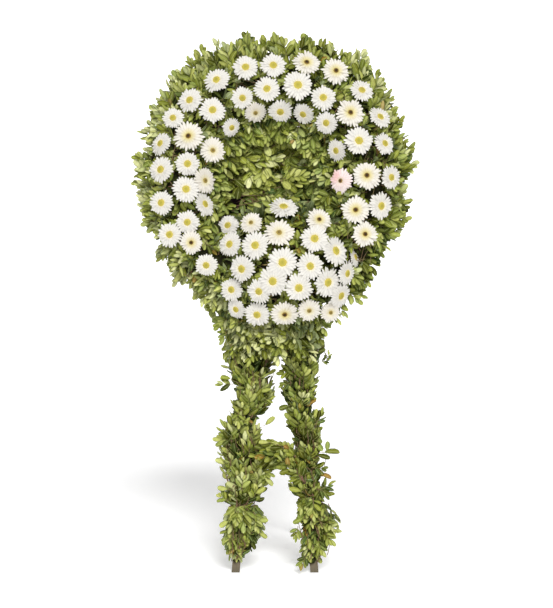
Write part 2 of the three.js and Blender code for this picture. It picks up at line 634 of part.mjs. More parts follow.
for (const [name, piece] of Object.entries({ ...legs, ...props })) place(name, piece.solid, WOOD);
for (const [name, piece] of Object.entries(stretchers)) {
  place(name, largest(cutBy(piece.solid, timberRooms)), WOOD);
}
place("rear_stretcher", largest(cutBy(rearStretcher(), [...timberRooms, ...stretcherRooms])), WOOD);
place("upper_head_rail", headRail(RAIL_Z), WOOD);
place("lower_head_rail", headRail(-RAIL_Z), WOOD);

const bunches = {};
for (const [name, blooms] of Object.entries(RING_BUNCHES)) {
  bunches[name] = withRoom((grow) => bunch(blooms, onRing, ringHub, grow));
}
for (const [name, blooms] of Object.entries(CUSHION_BUNCHES)) {
  bunches[name] = withRoom((grow) => bunch(blooms, onCushion, cushionHub, grow));
}
const bunchRooms = Object.values(bunches).map((piece) => piece.room);

const placedRooms = [];
for (const [name, piece] of Object.entries(bunches)) {
  place(name, largest(cutBy(piece.solid, placedRooms)), PETALS);
  placedRooms.push(piece.room);
}

const straw = withRoom((grow) => ringTorus(RING_RADIUS, STRAW_RADIUS + grow, STRAW_RADIUS + grow));
place("straw_ring", cutBy(straw.solid, [block(new THREE.Vector3(-FAR, 0, -FAR), new THREE.Vector3(FAR, FAR, FAR)),
  ...bunchRooms]), STRAW);

const backing = withRoom((grow) => {
  const mat = new THREE.CylinderGeometry(BACKING_RADIUS + grow, BACKING_RADIUS + grow, BACKING_THICKNESS + 2 * grow, 32);
  return solidFrom(mat.translate(0, -GAP - BACKING_THICKNESS / 2, 0));
});
place("dish_backing", backing.solid, STRAW);

const strawCushion = withRoom((grow) => cushionDome(CUSHION_STRAW, grow));
const cushionBack = block(
  new THREE.Vector3(-FAR, -BACKING_THICKNESS - 2 * GAP, -FAR),
  new THREE.Vector3(FAR, FAR, FAR),
);
place("straw_cushion", largest(cutBy(strawCushion.solid, [straw.room, cushionBack, ...bunchRooms])), STRAW);

const cushionCover = withRoom((grow) => joined([cushionDome(CUSHION_COVER, grow), ...rimSprigs(grow)]));
place("cushion_leaves", largest(cutBy(cushionCover.solid,
  [strawCushion.room, straw.room, cushionBack, ...bunchRooms])), LEAVES);

const ringCovers = COVER_ENDS.slice(1).map((end, i) => {
  const start = COVER_ENDS[i];
  const piece = withRoom((grow) => joined([
    ringTorus(PACKED_RADIUS, COVER_SECTION.out + grow, COVER_SECTION.front + grow),
    ...ringSprigs(start + 3, end - 3, grow),
  ]));
  const cut = cutBy(piece.solid.intersect(wedge(start, end)),
    [straw.room, backPlane, backing.room, cushionCover.room, ...bunchRooms]);
  place(`ring_leaves_${i + 1}`, largest(cut), LEAVES);
  return piece.room;
});

const dish = withRoom(dishFoliage);
place("dish_leaves", largest(cutBy(dish.solid,
  [...ringCovers, straw.room, backing.room, cushionCover.room, ...bunchRooms])), DARK_LEAVES);

const bridge = withRoom(bridgeSprig);
const collarPiece = withRoom(collar);
place("collar_leaves", largest(cutBy(collarPiece.solid,
  [...legRooms, ...ringCovers, straw.room, cushionCover.room, backing.room, ...bunchRooms])), LEAVES);

const bundleRooms = [collarPiece.room];
for (const [name, spec] of Object.entries(LEG_BUNDLES)) {
  const piece = withRoom((grow) => legBundle(spec, grow));
  const cutters = [underFloor, ...timberRooms, ...stretcherRooms, bridge.room, ...bundleRooms];
  place(name, largest(cutBy(piece.solid, cutters)), LEAVES);
  bundleRooms.push(piece.room);
}
place("bridge_sprig", largest(cutBy(bridge.solid, [...timberRooms, ...stretcherRooms])), LEAVES);

// ---------------------------------------------------------------- the finished wreath
const wreath = new THREE.Group();
wreath.add(leaning);
wreath.updateMatrixWorld(true);
const bounds = new THREE.Box3().setFromObject(wreath, true);
const centre = bounds.getCenter(new THREE.Vector3());
wreath.position.set(-centre.x, -centre.y, -bounds.min.z);
wreath.updateMatrixWorld(true);

export default wreath;
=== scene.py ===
"""A standing memorial wreath: box foliage and gerberas on straw, carried by a timber stand.

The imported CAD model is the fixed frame. Every piece is modelled in the wreath's own
leaning frame, in millimetres: the origin is the middle of the ring, X runs to the
viewer's right, Z runs up along the leaning front and -Y comes straight out of it.
"""

from __future__ import annotations

import logging
import math
from dataclasses import dataclass, field
from enum import Enum, IntEnum
from functools import partial
from typing import Callable, Iterator, Sequence

import bpy
import numpy as np
from bpy.types import Material, NodeSocket, NodeTree
from mathutils import Euler, Matrix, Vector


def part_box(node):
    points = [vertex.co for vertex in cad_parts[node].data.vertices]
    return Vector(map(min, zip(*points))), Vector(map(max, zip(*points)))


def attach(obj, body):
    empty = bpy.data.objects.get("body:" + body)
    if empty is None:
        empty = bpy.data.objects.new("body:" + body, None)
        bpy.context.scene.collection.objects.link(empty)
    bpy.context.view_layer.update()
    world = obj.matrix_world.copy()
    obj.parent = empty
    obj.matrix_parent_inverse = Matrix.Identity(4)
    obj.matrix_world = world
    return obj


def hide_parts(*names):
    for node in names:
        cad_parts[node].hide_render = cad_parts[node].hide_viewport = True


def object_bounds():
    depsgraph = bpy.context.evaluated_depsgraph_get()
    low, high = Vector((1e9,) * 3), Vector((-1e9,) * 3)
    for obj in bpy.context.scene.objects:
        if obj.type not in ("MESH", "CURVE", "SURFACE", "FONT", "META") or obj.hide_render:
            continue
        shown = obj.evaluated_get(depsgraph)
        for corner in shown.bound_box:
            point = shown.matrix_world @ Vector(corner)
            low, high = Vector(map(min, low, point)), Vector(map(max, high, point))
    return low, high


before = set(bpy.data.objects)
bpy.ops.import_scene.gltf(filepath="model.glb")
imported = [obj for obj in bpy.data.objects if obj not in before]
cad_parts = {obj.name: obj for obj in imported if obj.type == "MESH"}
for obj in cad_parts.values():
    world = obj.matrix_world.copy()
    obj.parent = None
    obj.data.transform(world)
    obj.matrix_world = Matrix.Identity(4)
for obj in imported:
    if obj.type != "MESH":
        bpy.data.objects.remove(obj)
CAD_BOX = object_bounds()

log = logging.getLogger("wreath")

MM = 0.001  # metres in a millimetre
LEAN = math.radians(8.0)  # the dressed front of the stand leans back by this much
GOLDEN_ANGLE = math.radians(137.5)
SHARP_EDGE = math.radians(75)  # the thin edges of leaves and petals stay crisp
SEED = 7808

Array = np.ndarray
Generator = np.random.Generator
Amount = float | int | Array  # one value, or one for each point or triangle


# ------------------------------------------------------------------ small mathematics
def unit(vectors: Array) -> Array:
    """Scales vectors along the last axis to length one."""
    return vectors / np.maximum(np.linalg.norm(vectors, axis=-1, keepdims=True), 1e-9)


def vec(x: float, y: float, z: float) -> Array:
    """A vector of three numbers."""
    return np.array([x, y, z], float)


def basis(forward: Array, up: Array) -> Array:
    """The rotation whose columns are forward, left and up.

    Args:
        forward: the direction that local X takes.
        up: the direction that local Z leans towards.

    Returns:
        A 3 by 3 matrix.
    """
    x = unit(forward)
    y = np.cross(up, x)
    if np.linalg.norm(y) < 1e-4:
        y = np.cross(vec(0.31, 0.87, 0.38), x)
    y = unit(y)
    return np.column_stack([x, y, np.cross(x, y)])


def spun(matrix: Array, angle: float) -> Array:
    """Turns a rotation about its own local X by an angle in radians."""
    c, s = math.cos(angle), math.sin(angle)
    return matrix @ np.array([[1, 0, 0], [0, c, -s], [0, s, c]])


def clock(angle_degrees: float) -> Array:
    """The direction in the head's plane at a clock angle from the right-hand side."""
    angle = math.radians(angle_degrees)
    return vec(math.cos(angle), 0, math.sin(angle))


# ------------------------------------------------------------------ the CAD frame
@dataclass
class WreathFrame:
    """Where the wreath's own leaning frame lies in the row frame, from the CAD nodes."""

    lean: float = LEAN  # how far the front leans back, in radians
    backing_middle: float = -6.35  # the mat's middle behind the ring's middle, in millimetres
    origin: Array = field(init=False)  # the ring's middle in the row frame, in millimetres
    turn: Array = field(init=False)  # the rotation from the leaning frame to the row frame

    def __post_init__(self) -> None:
        """Finds the origin from the round mat behind the dish."""
        c, s = math.cos(self.lean), math.sin(self.lean)
        self.turn = np.array([[1, 0, 0], [0, c, s], [0, -s, c]])
        low, high = (np.array(corner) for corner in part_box("dish_backing"))
        middle = (low + high) / 2 / MM
        self.origin = middle - self.turn @ vec(0, self.backing_middle, 0)

    def to_row(self, points: Array) -> Array:
        """Millimetres in the leaning frame to metres in the row frame."""
        return (points @ self.turn.T + self.origin) * MM

    def from_row(self, points: Array) -> Array:
        """Metres in the row frame to millimetres in the leaning frame."""
        return (np.asarray(points, float) / MM - self.origin) @ self.turn

    def height_of(self, floor_height: float) -> float:
        """The leaning Z, near the front legs, of a height above the floor in millimetres."""
        return (floor_height - self.origin[2]) / math.cos(self.lean)


# ------------------------------------------------------------------ colours and nodes
Shade = NodeSocket | float | Sequence[float]
Adder = Callable[..., NodeSocket]


class Node(Enum):
    """The shader nodes in use: end of the type name, settings and the output that counts."""

    TONE = ("Attribute", {"attribute_name": "tone"}, "Fac")
    AGE = ("Attribute", {"attribute_name": "age"}, "Fac")
    COOL = ("Attribute", {"attribute_name": "cool"}, "Fac")
    POSITION = ("NewGeometry", {}, "Position")
    UV = ("UVMap", {}, "UV")
    X = ("SeparateXYZ", {}, "X")
    Y = ("SeparateXYZ", {}, "Y")
    Z = ("SeparateXYZ", {}, "Z")
    STRETCH = ("Mapping", {}, "Vector")
    NOISE = ("TexNoise", {}, "Fac")
    CELLS = ("TexVoronoi", {}, "Distance")
    RAMP = ("ValToRGB", {}, "Color")
    SPAN = ("MapRange", {}, "Result")
    BLEND = ("Mix", {"data_type": "RGBA"}, 2)
    PLUS = ("Math", {"operation": "ADD"}, "Value")
    MINUS = ("Math", {"operation": "SUBTRACT"}, "Value")
    TIMES = ("Math", {"operation": "MULTIPLY"}, "Value")
    SIZE = ("Math", {"operation": "ABSOLUTE"}, "Value")
    SINE = ("Math", {"operation": "SINE"}, "Value")
    COSINE = ("Math", {"operation": "COSINE"}, "Value")
    BUMP = ("Bump", {}, "Normal")


def colour(code: str) -> tuple[float, float, float, float]:
    """An sRGB hex colour such as #6E8A35 as the linear colour that a shader takes."""
    parts = [int(code[i : i + 2], 16) / 255 for i in (1, 3, 5)]
    linear = [p / 12.92 if p <= 0.04045 else ((p + 0.055) / 1.055) ** 2.4 for p in parts]
    return (*linear, 1.0)


def feed(tree: NodeTree, socket: NodeSocket, value: Shade) -> None:
    """Links a socket to another, or sets its value."""
    if isinstance(value, NodeSocket):
        tree.links.new(value, socket)
    else:
        socket.default_value = value


def add_node(tree: NodeTree, kind: Node, *inputs: Shade, stops: Sequence[tuple[float, str]] = (),
             **named: Shade) -> NodeSocket:
    """Adds one shader node with its settings and links.

    Args:
        tree: the material's node tree.
        kind: which node it is.
        inputs: values or links for its open sockets, in order.
        stops: a ramp's pairs of position and hex colour, in order.
        named: values or links for sockets by name.

    Returns:
        The output that counts.
    """
    name, settings, output = kind.value
    node = tree.nodes.new("ShaderNode" + name)
    for setting, value in settings.items():
        setattr(node, setting, value)
    for _extra in stops[2:]:
        node.color_ramp.elements.new(0.5)
    for index, (position, code) in enumerate(stops):
        node.color_ramp.elements[index].position = position
        node.color_ramp.elements[index].color = colour(code)
    for socket, value in zip([socket for socket in node.inputs if socket.enabled], inputs):
        feed(tree, socket, value)
    for label, value in named.items():
        feed(tree, node.inputs[label], value)
    return node.outputs[output]


# ------------------------------------------------------------------ finishes
@dataclass(frozen=True)
class Surface:
    """What every finish shares: a Principled material, fed by what looks() returns."""

    def build(self, name: str) -> Material:
        """Makes the material.

        Args:
            name: the material's name.

        Returns:
            The material.
        """
        material = bpy.data.materials.new(name)
        material.use_nodes = True
        tree = material.node_tree
        shader = tree.nodes["Principled BSDF"]
        for socket, value in self.looks(partial(add_node, tree)).items():
            feed(tree, shader.inputs[socket], value)
        return material

    def looks(self, add: Adder) -> dict[str, Shade]:
        """What feeds the shader's sockets, by name; add puts a node in the material's tree."""
        raise NotImplementedError


@dataclass(frozen=True)
class LeafUpper(Surface):
    """Upper side of a box leaf: a waxy cuticle over green tissue, with a paler midrib."""

    deep: str = "#2A3105"
    middle: str = "#929B39"
    bright: str = "#BBC066"
    pale: str = "#D5D899"
    cool: str = "#64844E"
    aged: str = "#94702F"
    rib: str = "#D6D998"
    vein_spacing_mm: float = 5.5
    leaf_length_mm: float = 44.0
    mottle_mm: float = 11.0
    rib_half_width: float = 1 / 16  # as a share of the leaf's width
    rib_strength: float = 0.45
    margin_shade: float = 0.8
    stalk_shade: float = 0.5
    stalk_reach: float = 2 / 7  # as a share of the leaf's length
    vein_slant: float = 0.55
    vein_height: float = 0.35  # as a share of the rib's
    relief_mm: float = 0.35
    shine: float = 0.42
    shine_scatter: float = 0.25
    sheen: float = 0.28

    def looks(self, add: Adder) -> dict[str, Shade]:
        """The leaf's cuticle gives a broken gloss; tone, coolness and age vary leaf by leaf."""
        tone, uv = add(Node.TONE), add(Node.UV)
        mottle = add(Node.NOISE, Vector=add(Node.POSITION), Scale=1 / (self.mottle_mm * MM), Detail=3.0)
        along, off_rib = add(Node.X, uv), add(Node.SIZE, add(Node.MINUS, add(Node.Y, uv), 0.5))
        rib = add(Node.SPAN, off_rib, self.rib_half_width, 0.0)
        greens = ((0.0, self.deep), (0.4, self.middle), (0.75, self.bright), (1.0, self.pale))
        green = add(Node.RAMP, tone, stops=greens)
        layers = (
            (add(Node.COOL), self.cool),
            (add(Node.SPAN, mottle, 0.35, 1.6), self.deep),
            (add(Node.AGE), self.aged),
            (add(Node.TIMES, rib, self.rib_strength), self.rib),
            (add(Node.SPAN, off_rib, 0.3, 0.5, 0.0, self.margin_shade), self.deep),
            (add(Node.SPAN, along, self.stalk_reach, 0.0, 0.0, self.stalk_shade), self.deep),
        )
        for share, code in layers:
            green = add(Node.BLEND, share, green, colour(code))
        slanted = add(Node.MINUS, along, add(Node.TIMES, off_rib, self.vein_slant))
        vein = add(Node.SINE, add(Node.TIMES, slanted, math.tau * self.leaf_length_mm / self.vein_spacing_mm))
        relief = add(Node.MINUS, add(Node.TIMES, vein, self.vein_height), rib)
        return {
            "Base Color": green,
            "Normal": add(Node.BUMP, Strength=0.35, Distance=self.relief_mm * MM, Height=relief),
            "Roughness": add(Node.PLUS, add(Node.TIMES, mottle, self.shine_scatter), self.shine),
            "Specular IOR Level": add(Node.TIMES, tone, self.sheen),
        }


@dataclass(frozen=True)
class LeafUnder(Surface):
    """Underside of a box leaf: matt, paler and a little blue."""

    deep: str = "#4F6230"
    pale: str = "#A3B07E"
    aged: str = "#B08A4A"
    rib: str = "#D2DAAE"
    rib_half_width: float = 1 / 14
    rib_strength: float = 0.7

    def looks(self, add: Adder) -> dict[str, Shade]:
        """No cuticle gloss here, so the underside reads as a soft grey-green."""
        green = add(Node.RAMP, add(Node.TONE), stops=((0.0, self.deep), (1.0, self.pale)))
        green = add(Node.BLEND, add(Node.AGE), green, colour(self.aged))
        off_rib = add(Node.SIZE, add(Node.MINUS, add(Node.Y, add(Node.UV)), 0.5))
        rib = add(Node.SPAN, off_rib, self.rib_half_width, 0.0, 0.0, self.rib_strength)
        green = add(Node.BLEND, rib, green, colour(self.rib))
        return {"Base Color": green, "Roughness": 0.72, "Specular IOR Level": 0.06}


@dataclass(frozen=True)
class Bark(Surface):
    """Bark of the thin twigs: green when young, brown and cracked below."""

    young: str = "#8B9150"
    old: str = "#7C5A45"
    crack: str = "#3A2A20"
    crack_mm: float = 4.0

    def looks(self, add: Adder) -> dict[str, Shade]:
        """Dull bark; the tone attribute runs from the old end to the young tip."""
        bark = add(Node.RAMP, add(Node.TONE), stops=((0.0, self.old), (1.0, self.young)))
        crack = add(Node.NOISE, Vector=add(Node.POSITION), Scale=1 / (self.crack_mm * MM), Detail=4.0)
        bark = add(Node.BLEND, add(Node.TIMES, crack, 0.5), bark, colour(self.crack))
        return {"Base Color": bark, "Roughness": 0.85}


@dataclass(frozen=True)
class PackedFoliage(Surface):
    """The mass of leaf bases and twig ends packed under the sprigs, always in shade; its near-black green is
    painted shade.
    """

    deep: str = "#181E06"
    lit: str = "#455219"
    # purple-brown painted shadow for the gaps, which the tone brings in
    gap_shadow: str = "#3B2B30"
    patch_mm: float = 14.0

    def looks(self, add: Adder) -> dict[str, Shade]:
        """Painted shade: nearly black green with lit patches of leaf, so gaps look deep; tone adds a
        purple-brown painted shadow.
        """
        patch = add(Node.CELLS, Vector=add(Node.POSITION), Scale=1 / (self.patch_mm * MM))
        mass = add(Node.RAMP, patch, stops=((0.1, self.lit), (0.6, self.deep)))
        mass = add(Node.BLEND, add(Node.TONE), mass, colour(self.gap_shadow))
        return {"Base Color": mass, "Roughness": 0.9, "Specular IOR Level": 0.03}


@dataclass(frozen=True)
class Petal(Surface):
    """Ray petals of a gerbera: thin, soft and matt, tinted near the eye.

    The cool attribute holds the share of the bloom's radius, which places the halo.
    """

    blade: str = "#D1CEC5"
    shade: str = "#A6A3A2"
    halo: str = "#EFE6B8"
    halo_reach: float = 0.46
    halo_fade: float = 1 / 2.6
    # painted light: an emission that keeps shaded petals bright
    glow: float = 0.25
    groove_mm: float = 1.6
    groove_shade: float = 0.18
    petal_width_mm: float = 7.5
    edge_start: float = 0.3
    edge_fade: float = 2 / 7

    def looks(self, add: Adder) -> dict[str, Shade]:
        """Fine grooves run along each petal, with painted shade in them and at its edges; light passes into
        it through the subsurface, and an emission glow paints more light into it.
        """
        across = add(Node.Y, add(Node.UV))
        wave = add(Node.COSINE, add(Node.TIMES, across, math.tau * self.petal_width_mm / self.groove_mm))
        stripe = add(Node.TIMES, add(Node.PLUS, wave, 1.0), self.groove_shade)
        off_middle = add(Node.SIZE, add(Node.MINUS, across, 0.5))
        edge = add(Node.SPAN, off_middle, self.edge_start, self.edge_start + self.edge_fade)
        shaded = add(Node.PLUS, add(Node.TIMES, add(Node.TONE), 0.6), edge)
        near = add(Node.SPAN, add(Node.COOL), self.halo_reach, self.halo_reach - self.halo_fade)
        white = colour(self.blade)
        for share, code in ((stripe, self.shade), (shaded, self.shade), (near, self.halo)):
            white = add(Node.BLEND, share, white, colour(code))
        return {
            "Base Color": white,
            "Normal": add(Node.BUMP, Strength=0.4, Distance=0.25 * MM, Height=wave),
            "Roughness": 0.62,
            "Subsurface Weight": 0.25,
            "Subsurface Radius": (1.0, 0.95, 0.85),
            "Subsurface Scale": 4.0 * MM,
            "Emission Color": colour(self.blade),
            "Emission Strength": self.glow,
        }


@dataclass(frozen=True)
class Eye(Surface):
    """The disc florets in a gerbera's middle: a tight pile of small matt buds."""

    middle: str = "#A29A37"
    edge: str = "#C6B552"
    spread: float = 0.0
    bud_mm: float = 1.5

    def looks(self, add: Adder) -> dict[str, Shade]:
        """Tone runs from the middle of the eye to its edge, with a little scatter."""
        scatter = add(Node.NOISE, Vector=add(Node.POSITION), Scale=1 / (self.bud_mm * MM), Detail=1.0)
        tone = add(Node.PLUS, add(Node.TONE), add(Node.MINUS, scatter, 0.5))
        buds = add(Node.RAMP, tone, stops=((self.spread, self.middle), (1.0, self.edge)))
        return {"Base Color": buds, "Roughness": 0.8}


@dataclass(frozen=True)
class Stem(Surface):
    """Gerbera stem and calyx: smooth, downy green skin."""

    pale: str = "#8FA35A"
    deep: str = "#5B7434"
    streak_mm: float = 3.0

    def looks(self, add: Adder) -> dict[str, Shade]:
        """A soft green with faint ribs that run along the stem."""
        streak = add(Node.NOISE, Vector=add(Node.POSITION), Scale=1 / (self.streak_mm * MM), Detail=2.0)
        skin = add(Node.RAMP, streak, stops=((0.3, self.deep), (0.7, self.pale)))
        return {"Base Color": skin, "Roughness": 0.6}


@dataclass(frozen=True)
class SawnSoftwood(Surface):
    """Sawn spruce batten: rough grain, grey with handling and darker at the feet."""

    early: str = "#8E7A62"
    late: str = "#6B5A47"
    foot_colour: str = "#494637"
    grain_mm: float = 5.0
    grain_stretch: float = 0.06
    darkened_height: float = 0.11  # above the floor, in metres
    foot_darkening: float = 0.85

    def looks(self, add: Adder) -> dict[str, Shade]:
        """Grain drawn along the batten's length, which is nearly upright."""
        place = add(Node.POSITION)
        drawn = add(Node.STRETCH, Vector=place, Scale=(1.0, 1.0, self.grain_stretch))
        grain = add(Node.NOISE, Vector=drawn, Scale=1 / (self.grain_mm * MM), Detail=6.0, Roughness=0.65)
        wood = add(Node.RAMP, grain, stops=((0.32, self.late), (0.5, self.early), (0.72, self.late)))
        # darker within a little of the floor
        low = add(Node.SPAN, add(Node.Z, place), self.darkened_height, 0.0, 0.0, self.foot_darkening)
        wood = add(Node.BLEND, low, wood, colour(self.foot_colour))
        bump = add(Node.BUMP, Strength=0.5, Distance=0.6 * MM, Height=grain)
        return {"Base Color": wood, "Normal": bump, "Roughness": 0.82}


@dataclass(frozen=True)
class Straw(Surface):
    """Dry wheat straw, bound tight: shiny stalks over dark gaps; the dark is painted shade and the shine a
    painted highlight.
    """

    light: str = "#D2B571"
    dark: str = "#6E5426"
    gleam: str = "#E8D9A4"

    def looks(self, add: Adder) -> dict[str, Shade]:
        """Stalks drawn as fine streaks, with their waxy gloss kept low; the UVs set their width."""
        streak = add(Node.NOISE, Vector=add(Node.UV), Scale=1.0, Detail=5.0, Roughness=0.7)
        # painted shade in the dark stop, painted highlight in the gleam stop
        stalks = add(Node.RAMP, streak, stops=((0.35, self.dark), (0.55, self.light), (0.8, self.gleam)))
        bump = add(Node.BUMP, Strength=0.7, Distance=1.0 * MM, Height=streak)
        return {"Base Color": stalks, "Normal": bump, "Roughness": 0.55}


@dataclass(frozen=True)
class Plain(Surface):
    """Paper, jute twine and bright steel, whose own texture is too fine to show."""

    base: str
    roughness: float = 0.9
    metallic: float = 0.0
    glow: float = 0.0
    unevenness: float = 0.04

    def looks(self, add: Adder) -> dict[str, Shade]:
        """A soft, faintly uneven surface."""
        uneven = add(Node.NOISE, Vector=add(Node.POSITION), Scale=3.0, Detail=2.0)
        base = add(Node.BLEND, add(Node.TIMES, uneven, self.unevenness), colour(self.base), colour("#BFBFBF"))
        return {
            "Base Color": base,
            "Roughness": self.roughness,
            "Metallic": self.metallic,
            "Emission Color": (1.0, 1.0, 1.0, 1.0),
            "Emission Strength": self.glow,
        }


# ------------------------------------------------------------------ meshes
@dataclass
class Blade:
    """A thin closed leaf or petal, from its base at the origin along local +X."""

    length: float  # from base to tip
    width: float  # at the widest
    # pairs of share of length and share of half width, without the two ends
    outline: tuple[tuple[float, float], ...]
    bend: float = 0.4  # how far it curves down along its length, in radians
    fold: float = 0.25  # how far its edges stand above its middle, as a share of half the width
    thickness: float = 0.9  # at the middle
    lift: float = 0.0  # how steeply it leaves its base, in radians

    def points(self) -> tuple[Array, Array]:
        """The vertices, and a UV for each: along the length and across the width."""
        rows = np.array(self.outline)
        reach, none = rows[:, 1] * self.width / 2, np.zeros(len(rows))
        raised = self.fold * reach
        share = np.concatenate([[0], np.repeat(rows[:, 0], 4), [1]])
        across = np.concatenate([[0], np.column_stack([reach, none, -reach, none]).ravel(), [0]])
        above = np.column_stack([raised, none, raised, none - self.thickness]).ravel()
        above = np.concatenate([[0], above, [0]])
        turn, middle = self.lift - self.bend * share, self.lift - self.bend * share / 2
        x = self.length * share * np.cos(middle) - above * np.sin(turn)
        z = self.length * share * np.sin(middle) + above * np.cos(turn)
        v = [0.5, *[1.0, 0.5, 0.0, 0.5] * len(rows), 0.5]
        return np.column_stack([x, across, z]), np.column_stack([share, v])

    def faces(self) -> tuple[Array, Array]:
        """The triangles, and whether each one belongs to the underside."""
        rows = len(self.outline)
        order = np.append(np.arange(1, 4 * rows + 1), (0, 4 * rows + 1))
        return order[skin(rows, 4)], np.tile([0, 0, 1, 1], 2 * rows)


class Stock:
    """Collects triangles for one piece, in the leaning frame's millimetres."""

    def __init__(self) -> None:
        """Starts empty."""
        self.shells: list[tuple[Array, ...]] = []
        self.count = 0

    def add(self, verts: Array, tris: Array, uvs: Array, tone: Amount, finish: Amount,
            cool: Amount = 0.0, age: Amount = 0.0) -> None:
        """Adds a closed shell.

        Args:
            verts: its points.
            tris: its triangles, counted from its own first point.
            uvs: one UV a point.
            tone: a number, or one number a point.
            finish: material number, or one number a triangle.
            cool: how blue the green is, like tone.
            age: how brown it is, like tone.
        """
        looks = [np.broadcast_to(np.asarray(amount, float), len(verts)) for amount in (tone, age, cool)]
        finishes = np.broadcast_to(np.asarray(finish, int), len(tris))
        self.shells.append((verts, tris + self.count, uvs, finishes, *looks))
        self.count += len(verts)

    def piece(self, name: str, place: WreathFrame, materials: Sequence[Material], slot: str,
              *nodes: str) -> None:
        """Args:
            name: the piece's name.
            place: the leaning frame.
            materials: its finishes, in the order of the material numbers.
            slot: a material slot's name; not used.
            nodes: the CAD nodes that it stands for.
        """
        verts, tris, uvs, finishes, *looks = (np.concatenate(part) for part in zip(*self.shells))
        corners = tris.astype(np.int32).ravel()
        mesh = bpy.data.meshes.new(name)
        mesh.vertices.add(len(verts))
        mesh.vertices.foreach_set("co", place.to_row(verts).astype(np.float32).ravel())
        mesh.loops.add(len(corners))
        mesh.loops.foreach_set("vertex_index", corners)
        mesh.polygons.add(len(tris))
        mesh.polygons.foreach_set("loop_start", np.arange(0, len(corners), 3, dtype=np.int32))
        mesh.polygons.foreach_set("material_index", finishes.astype(np.int32))
        mesh.polygons.foreach_set("use_smooth", np.full(len(tris), True))
        uv_layer = mesh.uv_layers.new(name="UVMap")
        uv_layer.data.foreach_set("uv", uvs[corners].astype(np.float32).ravel())
        for label, values in zip(("tone", "age", "cool"), looks):
            layer = mesh.attributes.new(label, "FLOAT", "POINT")
            layer.data.foreach_set("value", values.astype(np.float32))
        mesh.update(calc_edges=True)
        mesh.validate()
        mesh.set_sharp_from_angle(angle=SHARP_EDGE)
        for material in materials:
            mesh.materials.append(material)
        made = bpy.data.objects.new(name, mesh)
        bpy.context.scene.collection.objects.link(made)
        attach(made, "root")
        for node in nodes:
            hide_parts(node)
        log.info("%s: %d triangles", name, len(tris))


def skin(rings: int, sides: int) -> Array:
    """Triangles over loops of points that come one after another, then two cap points.

    Args:
        rings: how many loops.
        sides: how many points each loop has.

    Returns:
        The triangles: first those between the loops, then those of the two caps.
    """
    j = np.arange(sides)
    k = (j + 1) % sides
    step = sides * np.arange(rings - 1)[:, None]
    a, b, end = step + j, step + k, sides * (rings - 1)
    first, last = np.full(sides, rings * sides), np.full(sides, rings * sides + 1)
    parts = [(a, b, b + sides), (a, b + sides, a + sides), (first, k, j), (last, end + j, end + k)]
    return np.concatenate([np.stack(part, axis=-1).reshape(-1, 3) for part in parts])


def tube(path: Array, radii: Sequence[float], sides: int, tone: float = 1.0) -> tuple[Array, ...]:
    """A closed tube along a path.

    Args:
        path: its centre points.
        radii: its radius at each point.
        sides: how many sides it has.
        tone: at its end; it starts from zero.

    Returns:
        Vertices, triangles, UVs and tones.
    """
    steps = len(path)
    ways = unit(np.gradient(path, axis=0))
    side = unit(np.cross(ways, vec(0.27, 0.53, 0.80)))
    other = np.cross(ways, side)
    turns = np.arange(sides) * math.tau / sides
    rings = [path[i] + radii[i] * (np.cos(turns)[:, None] * side[i] + np.sin(turns)[:, None] * other[i])
             for i in range(steps)]
    verts = np.concatenate([*rings, path[:1], path[-1:]])
    share = np.concatenate([np.repeat(np.linspace(0, 1, steps), sides), [0.0, 1.0]])
    uvs = np.column_stack([share, np.concatenate([np.tile(turns / math.tau, steps), [0.5, 0.5]])])
    return verts, skin(steps, sides), uvs, share * tone


def lathe(profile: Sequence[tuple[float, float]], sides: int) -> tuple[Array, ...]:
    """A closed round body about local Z.

    Args:
        profile: pairs of radius and height, from the low pole to the high pole; the poles
            have a radius of zero.
        sides: how many sides it has.

    Returns:
        Vertices, triangles and UVs.
    """
    turns = np.arange(sides) * math.tau / sides
    loop = np.column_stack([np.cos(turns), np.sin(turns), np.ones(sides)])
    rings = [loop * vec(radius, radius, height) for radius, height in profile[1:-1]]
    verts = np.concatenate([*rings, [[0, 0, profile[0][1]], [0, 0, profile[-1][1]]]])
    count = len(rings)
    uvs = np.column_stack([np.repeat(np.linspace(0, 1, count), sides), np.tile(turns / math.tau, count)])
    return verts, skin(count, sides), np.concatenate([uvs, [[0, 0.5], [1, 0.5]]])


def ball(rings: int, sides: int) -> tuple[Array, ...]:
    """A closed ball of radius one, as lathe gives it."""
    turns = [math.pi * step / rings for step in range(rings + 1)]
    return lathe([(math.sin(turn), -math.cos(turn)) for turn in turns], sides)


# ------------------------------------------------------------------ foliage
LEAF_LENGTH = 41.0
BROAD_LEAF = ((0.14, 0.48), (0.40, 0.92), (0.68, 1.0), (0.90, 0.70))
NARROW_LEAF = ((0.14, 0.54), (0.38, 0.96), (0.64, 0.97), (0.88, 0.58))
LEAF_PROBES = [0, 5, 10, 14, -1]  # the points of a leaf that are tested against the blooms


class Finish(IntEnum):
    """Material numbers of a foliage piece."""

    UPPER = 0
    UNDER = 1
    TWIG = 2
    PACKED = 3


class Cut(Enum):
    """How much of a branch a sprig is: leaf pairs, spacing in millimetres and flatness."""

    LEAF = (0, 6.0, 1.0)
    TUFT = (2, 6.0, 0.0)
    SHORT = (2, 13.0, 0.9)
    MIDDLE = (4, 13.0, 0.85)
    SPRAY = (5, 15.5, 1.0)

    @property
    def reach(self) -> float:
        """From the base of its twig to the tip of its last leaf."""
        pairs, spacing, _flat = self.value
        return spacing * (pairs + 0.9) + 0.85 * LEAF_LENGTH


LEAF, TUFT, SHORT, MIDDLE, SPRAY = Cut


